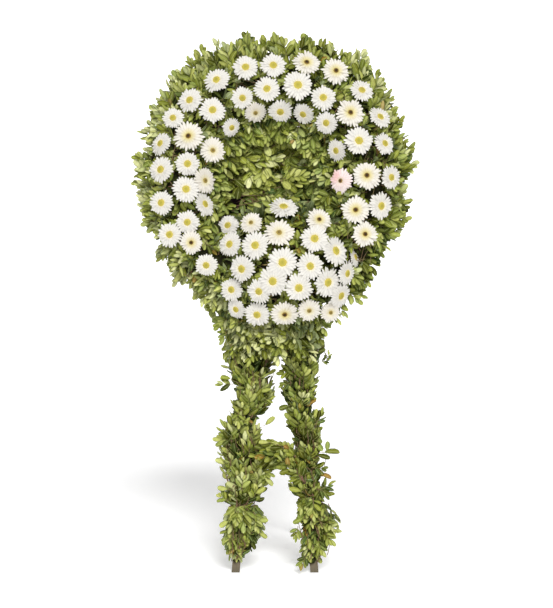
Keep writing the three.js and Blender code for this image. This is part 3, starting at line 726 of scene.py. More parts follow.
@dataclass
class Sprig:
    """One sprig: a thin twig with pairs of leaves and a leaf at its tip, along local +X."""

    cut: Cut
    rng: Generator
    leaf_length: float = LEAF_LENGTH  # usual length of a leaf
    # least and most width of a broad leaf, as a share of its length
    broad_width: tuple[float, float] = (0.43, 0.54)
    narrow_width: tuple[float, float] = (0.34, 0.43)  # the same for a narrow leaf
    broad: bool = field(init=False)  # whether its leaves are broad
    leaves: Array = field(init=False)  # points, leaf by leaf
    # of one leaf, as are its triangles and whether each belongs to the underside
    leaf_uvs: Array = field(init=False)
    leaf_tris: Array = field(init=False)
    leaf_under: Array = field(init=False)
    youth: Array = field(init=False)  # of each leaf, from 0 at the base to 1 at the tip
    twig: tuple[Array, ...] = field(init=False)  # vertices, triangles, UVs and shares of the way along

    def __post_init__(self) -> None:
        """Builds the twig and the leaves."""
        rng = self.rng
        pairs, spacing, flat = self.cut.value
        start = 0.9 * spacing
        length = start + spacing * pairs
        self.broad = rng.random() < (1.0 if flat == 1.0 else 0.55)
        droop = rng.uniform(-0.2, 0.2)
        sway = rng.uniform(-0.22, 0.22)
        shares = np.linspace(0, 1, 5)
        path = length * np.column_stack([shares, sway * shares**2, droop * shares**2])
        self.twig = tube(path, [1.7, 1.5, 1.3, 1.1, 0.7], 4)
        blades = []
        for index in range(pairs):
            share = (start + spacing * index) / length
            root = length * vec(share, sway * share**2, droop * share**2)
            small = 0.84 + 0.2 * math.sin(math.pi * (index + 0.7) / pairs)
            cross = (1 - flat) * (index % 2) * math.pi / 2
            for hand in (-1, 1):
                opened = rng.uniform(0.5, 0.95) + 0.25 * (1 - flat)
                around = cross + rng.normal(0, 0.28)
                out = vec(0, hand * math.cos(around), math.sin(around) * hand)
                way = math.cos(opened) * vec(1, sway, droop) + math.sin(opened) * out
                up = vec(-0.25, rng.normal(0, 0.25), 1.0) if flat > 0.5 else vec(0.8, 0, 0) - out * 0.3
                blades.append(self._leaf(root, way, up, small))
        blades.append(self._leaf(path[-1], vec(1, 0.15, 0.1), vec(0, 0.2, 1), 0.9))
        if pairs:
            blades.append(self._leaf(path[-1], vec(1, -0.35, 0.3), vec(-0.2, -0.2, 1), 0.66))
        self.leaves = np.array(blades)
        self.youth = np.append(np.repeat(np.arange(pairs) / max(pairs, 1), 2), [1.0] * (1 + bool(pairs)))

    def _leaf(self, root: Array, way: Array, up: Array, small: float) -> Array:
        """The points of one leaf of the sprig.

        Args:
            root: where it grows from the twig.
            way: where it points.
            up: the side that its top turns to.
            small: its size as a share of the usual.

        Returns:
            The points.
        """
        rng, length = self.rng, self.leaf_length * small
        blade = Blade(
            length=length * rng.uniform(0.86, 1.12),
            width=length * rng.uniform(*(self.broad_width if self.broad else self.narrow_width)),
            outline=BROAD_LEAF if self.broad else NARROW_LEAF,
            bend=rng.uniform(-0.1, 0.6),
            fold=rng.uniform(0.14, 0.48),
            thickness=0.9,
            lift=rng.uniform(-0.1, 0.2),
        )
        points, self.leaf_uvs = blade.points()
        self.leaf_tris, self.leaf_under = blade.faces()
        turned = spun(basis(way, up), rng.normal(0, 0.26 if self.broad else 0.48))
        return points @ turned.T + root


@dataclass
class Keepout:
    """The spaces over the bloom faces that no leaf may cover, and those hidden behind."""

    cover: float = 0.84  # share of a bloom's radius that no leaf may cover
    hidden: float = 0.72  # share of the radius within which a leaf behind the bloom can't be seen
    back: float = -9.0  # how far behind the face the cover starts, in millimetres
    front: float = 46.0  # how far in front of the face it ends
    depth: float = -80.0  # how far behind the face the hidden space ends
    # middle, facing and radius of each bloom
    blooms: list[tuple[Array, Array, float]] = field(default_factory=list)

    def clear(self, points: Array) -> Array:
        """Which leaves keep out of every bloom and are not wholly hidden behind one.

        Args:
            points: leaves by points by three.

        Returns:
            One truth value a leaf.
        """
        middles, facings, radii = (np.array(column) for column in zip(*self.blooms))
        away = points[:, :, None, :] - middles
        height = np.einsum("ijkl,kl->ijk", away, facings)
        across = np.linalg.norm(away - height[..., None] * facings, axis=-1)
        over = (across < radii * self.cover) & (height > self.back) & (height < self.front)
        behind = (across < radii * self.hidden) & (height <= self.back) & (height > self.depth)
        return ~(over.any(axis=(1, 2)) | behind.all(axis=1).any(axis=1))


@dataclass(frozen=True)
class Tint:
    """The look of one sprig's leaves."""

    tone: float = 0.5  # usual tone, from 0 for deep green to 1 for pale
    cool: float = 0.12  # how blue the green is, from 0 to 1
    aged: float = 0.008  # share of the leaves that are old and brown
    # The tip leaves are paler from new growth; the base leaves are darker as painted shade.
    growth_and_shade: float = 0.3  # how much paler the leaves at its tip are than those at its base


@dataclass(frozen=True)
class Accent:
    """One sprig that stands out from the outline, placed by where its tip reaches."""

    x: float  # of the tip, to the right of the middle line
    z: float  # of the tip: above the ring's middle on the head, above the floor on a leg
    heading: float  # where it points, in degrees: 0 to the right and 90 up
    cut: Cut = SHORT
    size: float = 1.0  # a scale
    forward: float = 0.12  # how much it also points out of the front


def stand_outs(*rows: tuple) -> tuple[Accent, ...]:
    """Sprigs that stand out, a row for each: the fields of Accent in order."""
    return tuple(Accent(*row) for row in rows)


@dataclass
class Greenery:
    """What the foliage parts share: it plants sprigs and keeps leaves off blooms and floor."""

    rng: Generator
    keepout: Keepout  # the spaces over the blooms
    place: WreathFrame
    head: Head
    patterns_each: int = 9  # how many patterns each cut has
    floor_gap: float = 1.5  # the least height of a leaf above the floor
    tone_scatter: float = 0.17  # how much the tone varies from leaf to leaf
    cool_scatter: float = 0.15  # how much the blueness does
    patterns: dict[Cut, list[Sprig]] = field(init=False)  # the sprigs, by cut
    finishes: list[Material] = field(init=False)  # the materials, in the order of Finish

    def __post_init__(self) -> None:
        """Draws the patterns and builds the finishes."""
        self.patterns = {cut: [Sprig(cut, self.rng) for _ in range(self.patterns_each)] for cut in Cut}
        surfaces = {"box_leaf_upper": LeafUpper(), "box_leaf_under": LeafUnder(), "box_twig_bark": Bark(),
                    "packed_foliage": PackedFoliage()}
        self.finishes = [surface.build(name) for name, surface in surfaces.items()]

    def finish_piece(self, stock: Stock, name: str, node: str, slot: str = "box_leaves") -> None:
        """Makes a foliage piece that stands for one CAD node."""
        stock.piece(name, self.place, self.finishes, slot, node)

    def plant(self, stock: Stock, cut: Cut, base: Array, way: Array, up: Array, tint: Tint,
              size: float = 1.0) -> None:
        """Plants one sprig.

        Args:
            stock: the piece that it joins.
            cut: how much of a branch it is.
            base: where its twig starts.
            way: where it points.
            up: the side that its leaves turn their tops to.
            tint: its colours.
            size: a scale.
        """
        rng = self.rng
        pattern = self.patterns[cut][rng.integers(self.patterns_each)]
        turned = basis(way, up) * size
        leaves = pattern.leaves @ turned.T + base
        kept = self.keepout.clear(leaves[:, LEAF_PROBES])
        heights = leaves @ self.place.turn[2] + self.place.origin[2]
        kept &= heights.min(axis=1) > self.floor_gap
        if not kept.any():
            return
        leaves, youth = leaves[kept], pattern.youth[kept]
        count, block = leaves.shape[:2]
        tris = (pattern.leaf_tris[None] + (np.arange(count) * block)[:, None, None]).reshape(-1, 3)
        tones = tint.tone + tint.growth_and_shade * (youth - 0.6) + rng.normal(0, self.tone_scatter, count)
        cools = tint.cool + rng.normal(0, self.cool_scatter, count)
        old = rng.random(count) < tint.aged
        ages = np.where(old, rng.uniform(0.5, 1.0, count), rng.uniform(0, 0.08, count))
        tones, ages, cools = (np.repeat(np.clip(values, 0, 1), block) for values in (tones, ages, cools))
        stock.add(leaves.reshape(-1, 3), tris, np.tile(pattern.leaf_uvs, (count, 1)), tones,
                  np.tile(pattern.leaf_under, count), cools, ages)
        verts, *rest = pattern.twig
        verts = verts @ turned.T + base
        if self.keepout.clear(verts[None, ::4])[0]:
            stock.add(verts, *rest, Finish.TWIG)

    def plant_to(self, stock: Stock, accent: Accent, tip: Array, tint: Tint) -> None:
        """Plants a sprig so that its tip reaches a point.

        Args:
            stock: the piece that it joins.
            accent: the sprig.
            tip: where its tip reaches.
            tint: its colours.
        """
        angle = math.radians(accent.heading)
        way = unit(vec(math.cos(angle), -accent.forward, math.sin(angle)))
        base = tip - way * accent.cut.reach * accent.size
        if accent.cut is LEAF:
            self.twig(stock, base - way * 48, base + way * 2, vec(0, 0, -3), 1.1)
        self.plant(stock, accent.cut, base, way, vec(0.1, -1, 0.25), tint, accent.size)

    def twig(self, stock: Stock, start: Array, end: Array, sag: Array, thick: float) -> None:
        """Lays a bare twig between two points with a slight curve.

        Args:
            stock: the piece that it joins.
            start: one end.
            end: the other end.
            sag: how far its middle is moved.
            thick: its radius at the start.
        """
        share = np.linspace(0, 1, 6)[:, None]
        path = start * (1 - share) + end * share + sag * 4 * share * (1 - share)
        stock.add(*tube(path, np.linspace(thick, 0.5 * thick, 6), 5, 0.4), Finish.TWIG)


# ------------------------------------------------------------------ gerberas
class BloomKind(Enum):
    """The four sorts of gerbera in the wreath."""

    GREEN_EYE = "green_eye"
    DARK_EYE = "dark_eye"
    BLUSH = "blush"
    CREAM = "cream"


GREEN, DARK, BLUSH, CREAM = BloomKind


@dataclass(frozen=True)
class Bloom:
    """One gerbera of the planting plan."""

    clock: float  # clock angle from the right-hand side, in degrees
    reach: float  # distance from the middle of the ring or of the cushion, in millimetres
    diameter: float  # across the petals
    turn: float  # how far its face turns outwards, in degrees
    kind: BloomKind = GREEN


def bunch(node: str, *rows: tuple) -> tuple[str, list[Bloom]]:
    """One CAD bunch and its blooms, a row for each: the fields of Bloom in order."""
    return node, [Bloom(*row) for row in rows]


RING_PLAN = [
    bunch("gerberas_ring_top_left", (104, 390, 95, 20), (111, 290, 80, -10), (105, 233, 82, -42, CREAM)),
    bunch("gerberas_ring_top", (90, 386, 92, 15), (94, 303, 92, 8), (84, 229, 88, -42)),
    bunch("gerberas_ring_top_right", (74, 413, 102, 25, DARK), (75, 323, 108, 10), (65, 243, 80, -42)),
    bunch("gerberas_ring_shoulder_right", (60, 430, 100, 20, DARK), (58, 320, 92, 0), (46, 261, 82, -28)),
    bunch("gerberas_ring_upper_right", (45, 426, 85, 25), (40, 339, 102, 15, DARK)),
    bunch("gerberas_ring_right",
          (30, 421, 85, 33), (23, 314, 102, 5), (24, 232, 80, -40), (17, 392, 80, 30)),
    bunch("gerberas_ring_mid_right", (0, 396, 85, 37), (1, 316, 100, 0, DARK), (358, 230, 88, -28, BLUSH)),
    bunch("gerberas_ring_lower_right", (345, 377, 98, 30), (338, 300, 102, -5, DARK)),
    bunch("gerbera_ring_right_foot", (328, 365, 92, 15, DARK)),
    bunch("gerberas_ring_shoulder_left", (120, 383, 92, 20), (132, 307, 92, 0), (129, 226, 68, -40)),
    bunch("gerberas_ring_upper_left",
          (137, 387, 92, 22), (149, 397, 78, 10), (154, 319, 108, 10, DARK), (155, 228, 92, -15, CREAM)),
    bunch("gerberas_ring_left", (163, 400, 85, 37), (171, 293, 88, -10)),
    bunch("gerberas_ring_mid_left", (176, 382, 95, 30), (188, 297, 95, 0), (182, 234, 95, -37, CREAM)),
    bunch("gerberas_ring_lower_left", (193, 386, 88, 15), (208, 327, 85, 5), (201, 246, 88, -50)),
    bunch("gerberas_ring_foot_left", (209, 399, 88, 20), (219, 353, 82, 15, DARK)),
    bunch("gerbera_ring_left_foot", (233, 373, 82, 15)),
]

CUSHION_PLAN = [
    bunch("gerberas_cushion_right_edge", (5, 234, 75, 60), (349, 204, 88, 46)),
    bunch("gerberas_cushion_upper_right", (12, 165, 108, 39), (53, 176, 88, 22, DARK), (39, 116, 98, 6)),
    bunch("gerberas_cushion_top", (94, 189, 106, 44), (107, 98, 105, 20, CREAM), (133, 179, 78, 16, CREAM)),
    bunch("gerberas_cushion_upper_left", (147, 244, 82, 20), (163, 202, 92, 28), (155, 118, 98, 14)),
    bunch("gerberas_cushion_left", (190, 154, 95, 16), (206, 212, 85, 23), (222, 232, 75, 35)),
    bunch("gerbera_cushion_middle", (207, 19, 105, 0)),
    bunch("gerbera_cushion_centre_right", (345, 78, 95, 16)),
    bunch("gerberas_cushion_centre_left", (235, 85, 102, 14), (227, 140, 88, 22)),
    bunch("gerbera_cushion_centre_low", (292, 99, 98, 14)),
    bunch("gerberas_cushion_lower_right", (332, 154, 105, 40), (328, 214, 95, 47)),
    bunch("gerbera_cushion_low_left", (240, 203, 92, 27)),
    bunch("gerbera_cushion_low_middle", (267, 177, 98, 31, DARK)),
    bunch("gerberas_cushion_low_right", (294, 180, 85, 28, CREAM), (311, 222, 75, 25, CREAM)),
]


@dataclass
class Head:
    """The shape of the head: the ring's section, the cushion's dome and the dish.

    The half axes are in millimetres and match the CAD solids.
    """

    ring_radius: float = 330.0
    ring_depth: float = -70.0
    cover_out: float = 123.0
    cover_front: float = 108.0
    bloom_out: float = 153.0
    bloom_front: float = 138.0
    cushion: Array = field(default_factory=lambda: vec(48, -70, -286))
    cushion_cover: Array = field(default_factory=lambda: vec(230, 160, 204))
    cushion_blooms: Array = field(default_factory=lambda: vec(262, 190, 236))
    dish_radius: float = 201.0

    def ring_point(self, clock_angle: float, round_angle: float,
                   share: float = 1.0) -> tuple[Array, Array]:
        """A point of the ring's foliage and its outward normal.

        Args:
            clock_angle: in degrees.
            round_angle: round the section, in degrees: 0 in front, 90 outwards, -90 inwards.
            share: 1 on the cover, less inside it.

        Returns:
            The point and the normal.
        """
        out, turn = clock(clock_angle), math.radians(round_angle)
        wide, deep = share * self.cover_out * math.sin(turn), share * self.cover_front * math.cos(turn)
        point = out * (self.ring_radius + wide) + vec(0, self.ring_depth - deep, 0)
        normal = out * math.sin(turn) * self.cover_front - vec(0, math.cos(turn) * self.cover_out, 0)
        return point, unit(normal)

    def cushion_point(self, direction: Array, share: float) -> tuple[Array, Array]:
        """A point of the cushion's foliage in a direction from its middle, and its normal."""
        point = direction * self.cushion_cover * share
        return point + self.cushion, unit(point / self.cushion_cover**2)

    def in_cushion(self, point: Array, share: float) -> bool:
        """Whether a point lies inside the cushion's foliage."""
        return bool(np.linalg.norm((point - self.cushion) / (self.cushion_cover * share)) < 1)

    def seat(self, bloom: Bloom, on_cushion: bool) -> tuple[Array, Array]:
        """Where a bloom sits.

        Args:
            bloom: the bloom.
            on_cushion: whether it is on the cushion, and not on the ring.

        Returns:
            The middle of its face and the way it looks.
        """
        out, turn = clock(bloom.clock), math.radians(bloom.turn)
        facing = out * math.sin(turn) - vec(0, math.cos(turn), 0)
        point = out * bloom.reach
        if on_cushion:
            share = (point[0] / self.cushion_blooms[0]) ** 2 + (point[2] / self.cushion_blooms[2]) ** 2
            point[1] = -self.cushion_blooms[1] * math.sqrt(max(0.0, 1 - share))
            return point + self.cushion, facing
        across = (bloom.reach - self.ring_radius) / self.bloom_out
        point[1] = self.ring_depth - self.bloom_front * math.sqrt(1 - across**2)
        return point, facing


@dataclass(frozen=True)
class BloomLook:
    """Finishes of one sort of gerbera."""

    petal: Petal  # finish of its petals
    eye: Eye  # finish of its eye
    eye_share: float  # the eye's radius as a share of the bloom's
    flush: float = 0.0  # how much more shade colour the petals on its upper left have


LOOKS = {
    GREEN: BloomLook(Petal(), Eye(), 0.295),
    DARK: BloomLook(
        Petal(blade="#D4D0C6", halo="#C2B248", halo_reach=0.55, shade="#ABA394"),
        Eye("#3F2A0C", "#A8893C", 0.45), 0.18),
    BLUSH: BloomLook(
        Petal(blade="#DBD8D4", shade="#D09692", halo="#CBB694", halo_reach=0.42),
        Eye("#4E2F18", "#B79A5A", 0.35), 0.18, 1.3),
    CREAM: BloomLook(
        Petal(blade="#D3CFC5", halo="#C7BC7E", halo_reach=0.5, shade="#B3AA9C"),
        Eye("#6E5A28", "#BBA65A"), 0.19, 0.3),
}

OUTER_PETAL = ((0.10, 0.42), (0.36, 0.8), (0.63, 0.98), (0.83, 0.84), (0.95, 0.5))
INNER_PETAL = ((0.25, 0.7), (0.85, 0.8))
FLUSH_SIDE = 2.1  # radians that turn a blushing bloom's pink side to its upper left
FLUSH_EDGE = 0.45  # how far round the flush reaches: 0 is half the bloom, 1 is nothing
USUAL_RADIUS = 46.0  # of a bloom, in millimetres


@dataclass(frozen=True)
class PetalRow:
    """One row of petals."""

    count: int  # how many petals
    reach: float  # share of the bloom's radius
    lift: float  # how steeply they leave the eye, in radians
    bend: float  # how far they curve back, in radians
    width: float  # of a petal on a bloom of the usual radius
    height: float  # of the row above the bloom's middle


PETAL_ROWS = (
    PetalRow(26, 1.0, 0.12, 0.32, 9.8, -1.8),
    PetalRow(22, 0.87, 0.24, 0.42, 9.6, -0.4),
    PetalRow(15, 0.62, 0.42, 0.52, 7.8, 1.0),
)


@dataclass
class BloomStock(Stock):
    """The triangles of one bloom, whose own Z comes out of its face."""

    middle: Array  # the middle of its face
    facing: Array  # the way it looks
    radius: float  # across its petals
    turned: Array = field(init=False)  # the rotation to the leaning frame

    def __post_init__(self) -> None:
        """Starts empty, with the bloom's own X turned sideways."""
        super().__init__()
        self.turned = basis(unit(np.cross(self.facing, vec(0.2, 0.1, 1))), self.facing)

    def set_in(self, verts: Array, tris: Array, uvs: Array, tone: Amount, finish: int,
               cool: Amount = 0.0) -> None:
        """Adds a shell given in the bloom's own frame, with the arguments of add."""
        self.add(verts @ self.turned.T + self.middle, tris, uvs, tone, finish, cool)

    def petal(self, blade: Blade, angle: float, root: float, height: float, tone: float, roll: float) -> None:
        """Adds one petal.

        Args:
            blade: its shape.
            angle: where it stands round the eye, in radians.
            root: distance of its base from the middle.
            height: of its base.
            tone: how much of the shade colour it has.
            roll: a turn that lets it lie over its neighbour.
        """
        points, uvs = blade.points()
        tris, _under = blade.faces()
        points = points @ spun(np.eye(3), roll).T
        c, s = math.cos(angle), math.sin(angle)
        around = np.array([[c, -s, 0], [s, c, 0], [0, 0, 1]])
        points = (points + vec(root, 0, height)) @ around.T
        share = np.linalg.norm(points[:, :2], axis=1) / self.radius
        self.set_in(points, tris, uvs, min(tone, 1.6), 0, share)


@dataclass
class Gerberas:
    """All the gerberas, each a piece of its own with petals, eye, calyx and stem."""

    place: WreathFrame
    head: Head
    rng: Generator
    florets: int = 26  # small petals that stand round the eye
    buds: int = 44  # of the eye
    stem_radius: float = 2.8  # in millimetres
    stem_start: float = 14.0  # how far behind the face the stem starts
    stem_end: float = 52.0  # how far behind the face it ends
    stem_back: float = 26.0  # how far it also runs to the back
    finishes: dict[BloomKind, list[Material]] = field(init=False)  # petal, eye and stem, by sort

    def __post_init__(self) -> None:
        """Builds the finishes."""
        stem = Stem().build("gerbera_stem_green")
        self.finishes = {}
        for kind, look in LOOKS.items():
            petal = look.petal.build(f"gerbera_petal_{kind.value}")
            self.finishes[kind] = [petal, look.eye.build(f"gerbera_eye_{kind.value}"), stem]

    def build(self, keepout: Keepout) -> None:
        """Makes every bloom and reserves the space over its face.

        Args:
            keepout: the spaces over the blooms.
        """
        for label, plan in (("ring", RING_PLAN), ("cushion", CUSHION_PLAN)):
            blooms = [(node, bloom) for node, bunched in plan for bloom in bunched]
            for number, (node, bloom) in enumerate(blooms, 1):
                middle, facing = self.head.seat(bloom, label == "cushion")
                middle = middle + facing * self.rng.uniform(-5, 5)
                self._bloom(f"gerbera_{label}_{number:02d}", node, bloom, middle, facing)
                keepout.blooms.append((middle, facing, bloom.diameter / 2))

    def _bloom(self, name: str, node: str, bloom: Bloom, middle: Array, facing: Array) -> None:
        """Makes one bloom.

        Args:
            name: the piece's name.
            node: the CAD bunch that it belongs to.
            bloom: its place in the plan.
            middle: of its face.
            facing: the way it looks.
        """
        rng, look = self.rng, LOOKS[bloom.kind]
        radius = bloom.diameter / 2
        stock = BloomStock(middle, unit(facing + rng.normal(0, 0.06, 3)), radius)
        eye = look.eye_share * radius
        root = eye * 0.55
        for tier, row in enumerate(PETAL_ROWS):
            offset = rng.uniform(0, math.tau)
            for index in range(row.count):
                angle = offset + math.tau * (index + rng.normal(0, 0.10)) / row.count
                blade = Blade(
                    length=(radius * row.reach - root) * rng.uniform(0.84, 1.08),
                    width=row.width * rng.uniform(0.9, 1.08) * (radius / USUAL_RADIUS),
                    outline=OUTER_PETAL,
                    bend=row.bend * rng.uniform(0.5, 1.5),
                    fold=rng.uniform(-0.16, 0.04),
                    thickness=0.5,
                    lift=row.lift * rng.uniform(0.7, 1.3),
                )
                # Painted shade: each inner row takes more of the shade colour; the flush is the pink of a
                # blushing bloom.
                tone = 0.12 * tier + 1.6 * look.flush * max(0.0, math.sin(angle + FLUSH_SIDE) - FLUSH_EDGE)
                stock.petal(blade, angle, root, row.height, tone, 0.13)
        for index in range(self.florets):
            angle = index * math.tau / self.florets + rng.normal(0, 0.05)
            length = eye * rng.uniform(0.42, 0.66)
            blade = Blade(length, 2.8, INNER_PETAL, bend=0.5, fold=0.3, thickness=0.5, lift=0.9)
            stock.petal(blade, angle, eye * 0.86, 1.6, 0.1, 0.0)
        self._eye(stock, eye)
        self._calyx_and_stem(stock)
        stock.piece(name, self.place, self.finishes[bloom.kind], "gerbera_petals", node)

    def _eye(self, stock: BloomStock, radius: float) -> None:
        """Adds the eye: a low dome set with small buds in a spiral.

        Args:
            stock: the bloom.
            radius: of the eye.
        """
        verts, tris, uvs = lathe([(0, -3), (radius * 0.9, -1), (radius, 2.0), (radius * 0.75, 4.2),
                                  (radius * 0.35, 5.2), (0, 5.0)], 14)
        stock.set_in(verts, tris, uvs, np.linalg.norm(verts[:, :2], axis=1) / radius, 1)
        bud, faces, bud_uvs = lathe([(0, -1.2), (1.15, -0.2), (0.9, 1.1), (0, 1.8)], 4)
        for index in range(self.buds):
            share = math.sqrt((index + 0.5) / self.buds)
            angle = index * GOLDEN_ANGLE
            at = vec(radius * share * math.cos(angle), radius * share * math.sin(angle), 5.4 - 3.2 * share**3)
            stock.set_in(bud * self.rng.uniform(0.8, 1.25) + at, faces, bud_uvs, share, 1)

    def _calyx_and_stem(self, stock: BloomStock) -> None:
        """Adds the green cup behind the petals and the stem that runs into the foliage."""
        calyx = lathe([(0, -17), (3.2, -15), (7.5, -9), (10.5, -4), (9.0, -1.2), (0, -1.0)], 10)
        stock.set_in(*calyx, 0.5, 2)
        steps = np.linspace(0, 1, 6)[:, None]
        foot = stock.middle - stock.facing * self.stem_end + vec(0, self.stem_back, 0)
        path = (stock.middle - stock.facing * self.stem_start) * (1 - steps) + foot * steps
        stock.add(*tube(path, [self.stem_radius] * 6, 8), 2)


# ------------------------------------------------------------------ dressed parts
@dataclass(frozen=True)
class RimRow:
    """One row of sprigs that fan out of the ring's rim."""

    turn: float  # where it starts round the section, in degrees: 0 in front, 90 outwards
    back: float  # how far the sprigs lean back, or forward where negative
    cut: Cut  # how much of a branch each sprig is
    gap: float  # degrees between sprigs round the ring
    size: float  # a scale


@dataclass(frozen=True)
class Swell:
    """A place where the ring's rim stands out further, or less far where negative."""

    clock: float  # its middle, in degrees
    change: float  # how much further out, in millimetres
    spread: float  # how wide it is, in degrees


@dataclass
class Sector(Stock):
    """The triangles of one sector of the ring."""

    start: float  # clock angle where it starts, in degrees
    end: float  # clock angle where it ends
    rng: Generator

    def __post_init__(self) -> None:
        """Starts empty."""
        super().__init__()

    def spread(self, count: int) -> Iterator[tuple[int, float]]:
        """Numbers from 0, each with a clock angle at random within its own step.

        Args:
            count: how many.

        Yields:
            The number and the angle in degrees.
        """
        for i in range(count):
            yield i, self.start + (self.end - self.start) * (i + self.rng.random()) / count


@dataclass
class RingFoliage:
    """The ring's foliage, in the same five sectors as the CAD."""

    green: Greenery
    swells: tuple[Swell, ...] = (  # where the rim stands out
        Swell(48, 44, 13), Swell(74, 32, 14), Swell(108, 26, 14), Swell(136, 14, 7), Swell(-32, -36, 18),
        Swell(-2, -48, 8), Swell(165, -46, 9), Swell(202, -26, 14), Swell(228, -26, 9), Swell(242, 12, 7),
        Swell(-15, 12, 6),
    )
    ends: tuple[float, ...] = (-62, 2, 66, 130, 194, 260)  # clock angles between the sectors, in degrees
    rim: tuple[RimRow, ...] = (  # rows of sprigs that fan outwards
        RimRow(134, 0.8, MIDDLE, 9.0, 0.95),
        RimRow(112, 0.25, MIDDLE, 6.0, 0.92),
        RimRow(94, 0.02, MIDDLE, 4.8, 0.95),
        RimRow(74, -0.14, SHORT, 3.7, 1.12),
        RimRow(56, -0.2, SHORT, 3.8, 1.08),
    )
    # rows of sprigs between the blooms, in degrees round the section
    front: tuple[float, ...] = (40, 25, 10, -5, -20, -35, -50, -66, -82)
    spacing: float = 21.5  # between the sprigs of such a row, in millimetres
    curtain_gap: float = 3.2  # between the hanging sprigs of the inner side, in degrees
    twig_gap: float = 1.6  # between bare twigs, in degrees
    accents: tuple[Accent, ...] = stand_outs(  # sprigs that break the outline
        (107, 532, 92, LEAF, 1.4), (92, 500, 105), (-256, 490, 86, MIDDLE, 0.95), (-300, 448, 112),
        (-346, 394, 120), (-437, 272, 130, MIDDLE, 0.85), (-110, 500, 96), (186, 492, 80),
        (-36, 488, 88, SHORT, 0.9), (-470, 180, 158), (-492, 88, 170, MIDDLE, 0.9), (-482, 22, 186),
        (-462, -62, 192, MIDDLE, 0.85), (482, 104, 22, MIDDLE, 0.9), (472, -82, -4, MIDDLE, 0.95),
        (452, -150, -18), (386, 366, 50, MIDDLE), (410, 330, 40), (330, 412, 58),
        (277, 452, 66, MIDDLE, 0.95), (243, 470, 82), (330, -402, -36, MIDDLE, 0.95), (345, -345, -28),
        (-330, -322, 222, MIDDLE, 0.9), (-290, -366, 228), (-246, -420, 234, MIDDLE, 0.95),
        (-216, -462, 240, MIDDLE, 0.9), (-262, -380, 210, MIDDLE, 0.9), (-370, -250, 208), (-408, -190, 200))

    def build(self) -> None:
        """Makes the five pieces."""
        for number, (start, end) in enumerate(zip(self.ends, self.ends[1:]), 1):
            sector = Sector(start, end, self.green.rng)
            self._core(sector)
            self._fringe(sector)
            self._face(sector)
            self._curtain(sector)
            self._bare_twigs(sector)
            self._stand_outs(sector)
            self.green.finish_piece(sector, f"ring_foliage_{number}", f"ring_leaves_{number}")

    def _core(self, sector: Sector) -> None:
        """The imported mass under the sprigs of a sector, as a lumpy closed segment."""
        along, around, opening = 22, 18, 118
        rows = []
        for i in range(along + 1):
            angle = sector.start + (sector.end - sector.start) * i / along
            for j in range(around):
                turn = -opening + 2 * opening * j / (around - 1)
                lump = 0.81 + 0.05 * math.sin(i * 2.1 + j * 1.7) + 0.04 * math.sin(j * 2.9 - i * 1.3)
                rows.append(self.green.head.ring_point(angle, turn, lump)[0])
        verts = np.array(rows)
        verts[:, 1] = np.minimum(verts[:, 1], -4)
        verts = np.concatenate([verts, [verts[:around].mean(0)], [verts[-around:].mean(0)]])
        tris = skin(along + 1, around)[:, ::-1]
        sector.add(verts, tris, np.zeros((len(verts), 2)), 0.2, Finish.PACKED)

    def _swell(self, angle: float) -> float:
        """How much further out the rim stands at a clock angle, in millimetres."""
        away = [((angle - swell.clock + 180) % 360 - 180) / swell.spread for swell in self.swells]
        return sum(swell.change * math.exp(-far * far) for swell, far in zip(self.swells, away))

    def _fringe(self, sector: Sector) -> None:
        """Sprigs that fan outwards from the ring's outer side, to a ragged edge."""
        rng, head = self.green.rng, self.green.head
        for row in self.rim:
            for i, angle in sector.spread(int((sector.end - sector.start) / row.gap)):
                base, normal = head.ring_point(angle, row.turn + rng.uniform(-9, 9), 0.66)
                if head.in_cushion(base, 0.9):
                    continue
                out, side = clock(angle), clock(angle + 90)
                base = base + out * (self._swell(angle) + rng.uniform(-22, 24))
                rise = 0.55 if out[2] > -0.45 else -0.1
                way = out + side * rng.normal(0, 0.4) + vec(0, row.back + rng.normal(0, 0.14), rise)
                up = vec(0, math.copysign(1, row.back - 0.5), 0) + 0.35 * normal + rng.normal(0, 0.36, 3)
                way_round = math.radians(angle)
                ragged = 1.04 + 0.06 * math.sin(way_round * 7 + 1) + 0.05 * math.sin(way_round * 13)
                # Painted light and shade: the lower left is made paler against the shade the key light leaves
                # there, and every third sprig is made darker as painted shade between the sprigs.
                tone = 0.67 - 0.11 * math.cos(way_round) + 0.1 * math.sin(way_round * 3 + row.turn)
                tone += 0.18 * max(0.0, -out[0] - out[2]) + 0.04 * max(0.0, out[2])
                tone -= (0.3 if i % 3 == 0 else 0.0) + 0.25 * max(0.0, out[0]) * max(0.0, -out[2])
                tint = Tint(tone + rng.normal(0, 0.17))
                size = row.size * ragged * rng.uniform(0.82, 1.08)
                self.green.plant(sector, row.cut, base, way, up, tint, size)

    def _face(self, sector: Sector) -> None:
        """Sprigs that lie between the blooms, on the front and inner sides of the ring."""
        rng, head = self.green.rng, self.green.head
        for turn in self.front:
            radius = head.ring_radius + head.cover_out * math.sin(math.radians(turn))
            count = int(math.radians(sector.end - sector.start) * radius / self.spacing)
            for i, angle in sector.spread(count):
                base, normal = head.ring_point(angle, turn + rng.uniform(-7, 7), 0.84)
                if head.in_cushion(base, 0.9):
                    continue
                out, side = clock(angle), clock(angle + 90)
                lay = out * (math.copysign(0.5, turn - 5) + rng.normal(0, 0.5)) + side * rng.normal(0, 0.8)
                way = unit(lay) + normal * rng.uniform(0.0, 0.5)
                tone = 0.54 - 0.08 * out[0] - (0.1 if turn < -50 else 0)
                # Painted shade: every third sprig is set deeper and painted darker.
                if i % 3 == 0:
                    base = base - 12 * normal
                    tone -= 0.3
                tint = Tint(tone + rng.normal(0, 0.17), 0.15)
                cut = TUFT if rng.random() < 0.25 else SHORT
                up = normal + rng.normal(0, 0.2, 3)
                self.green.plant(sector, cut, base, way, up, tint, rng.uniform(0.88, 1.1))

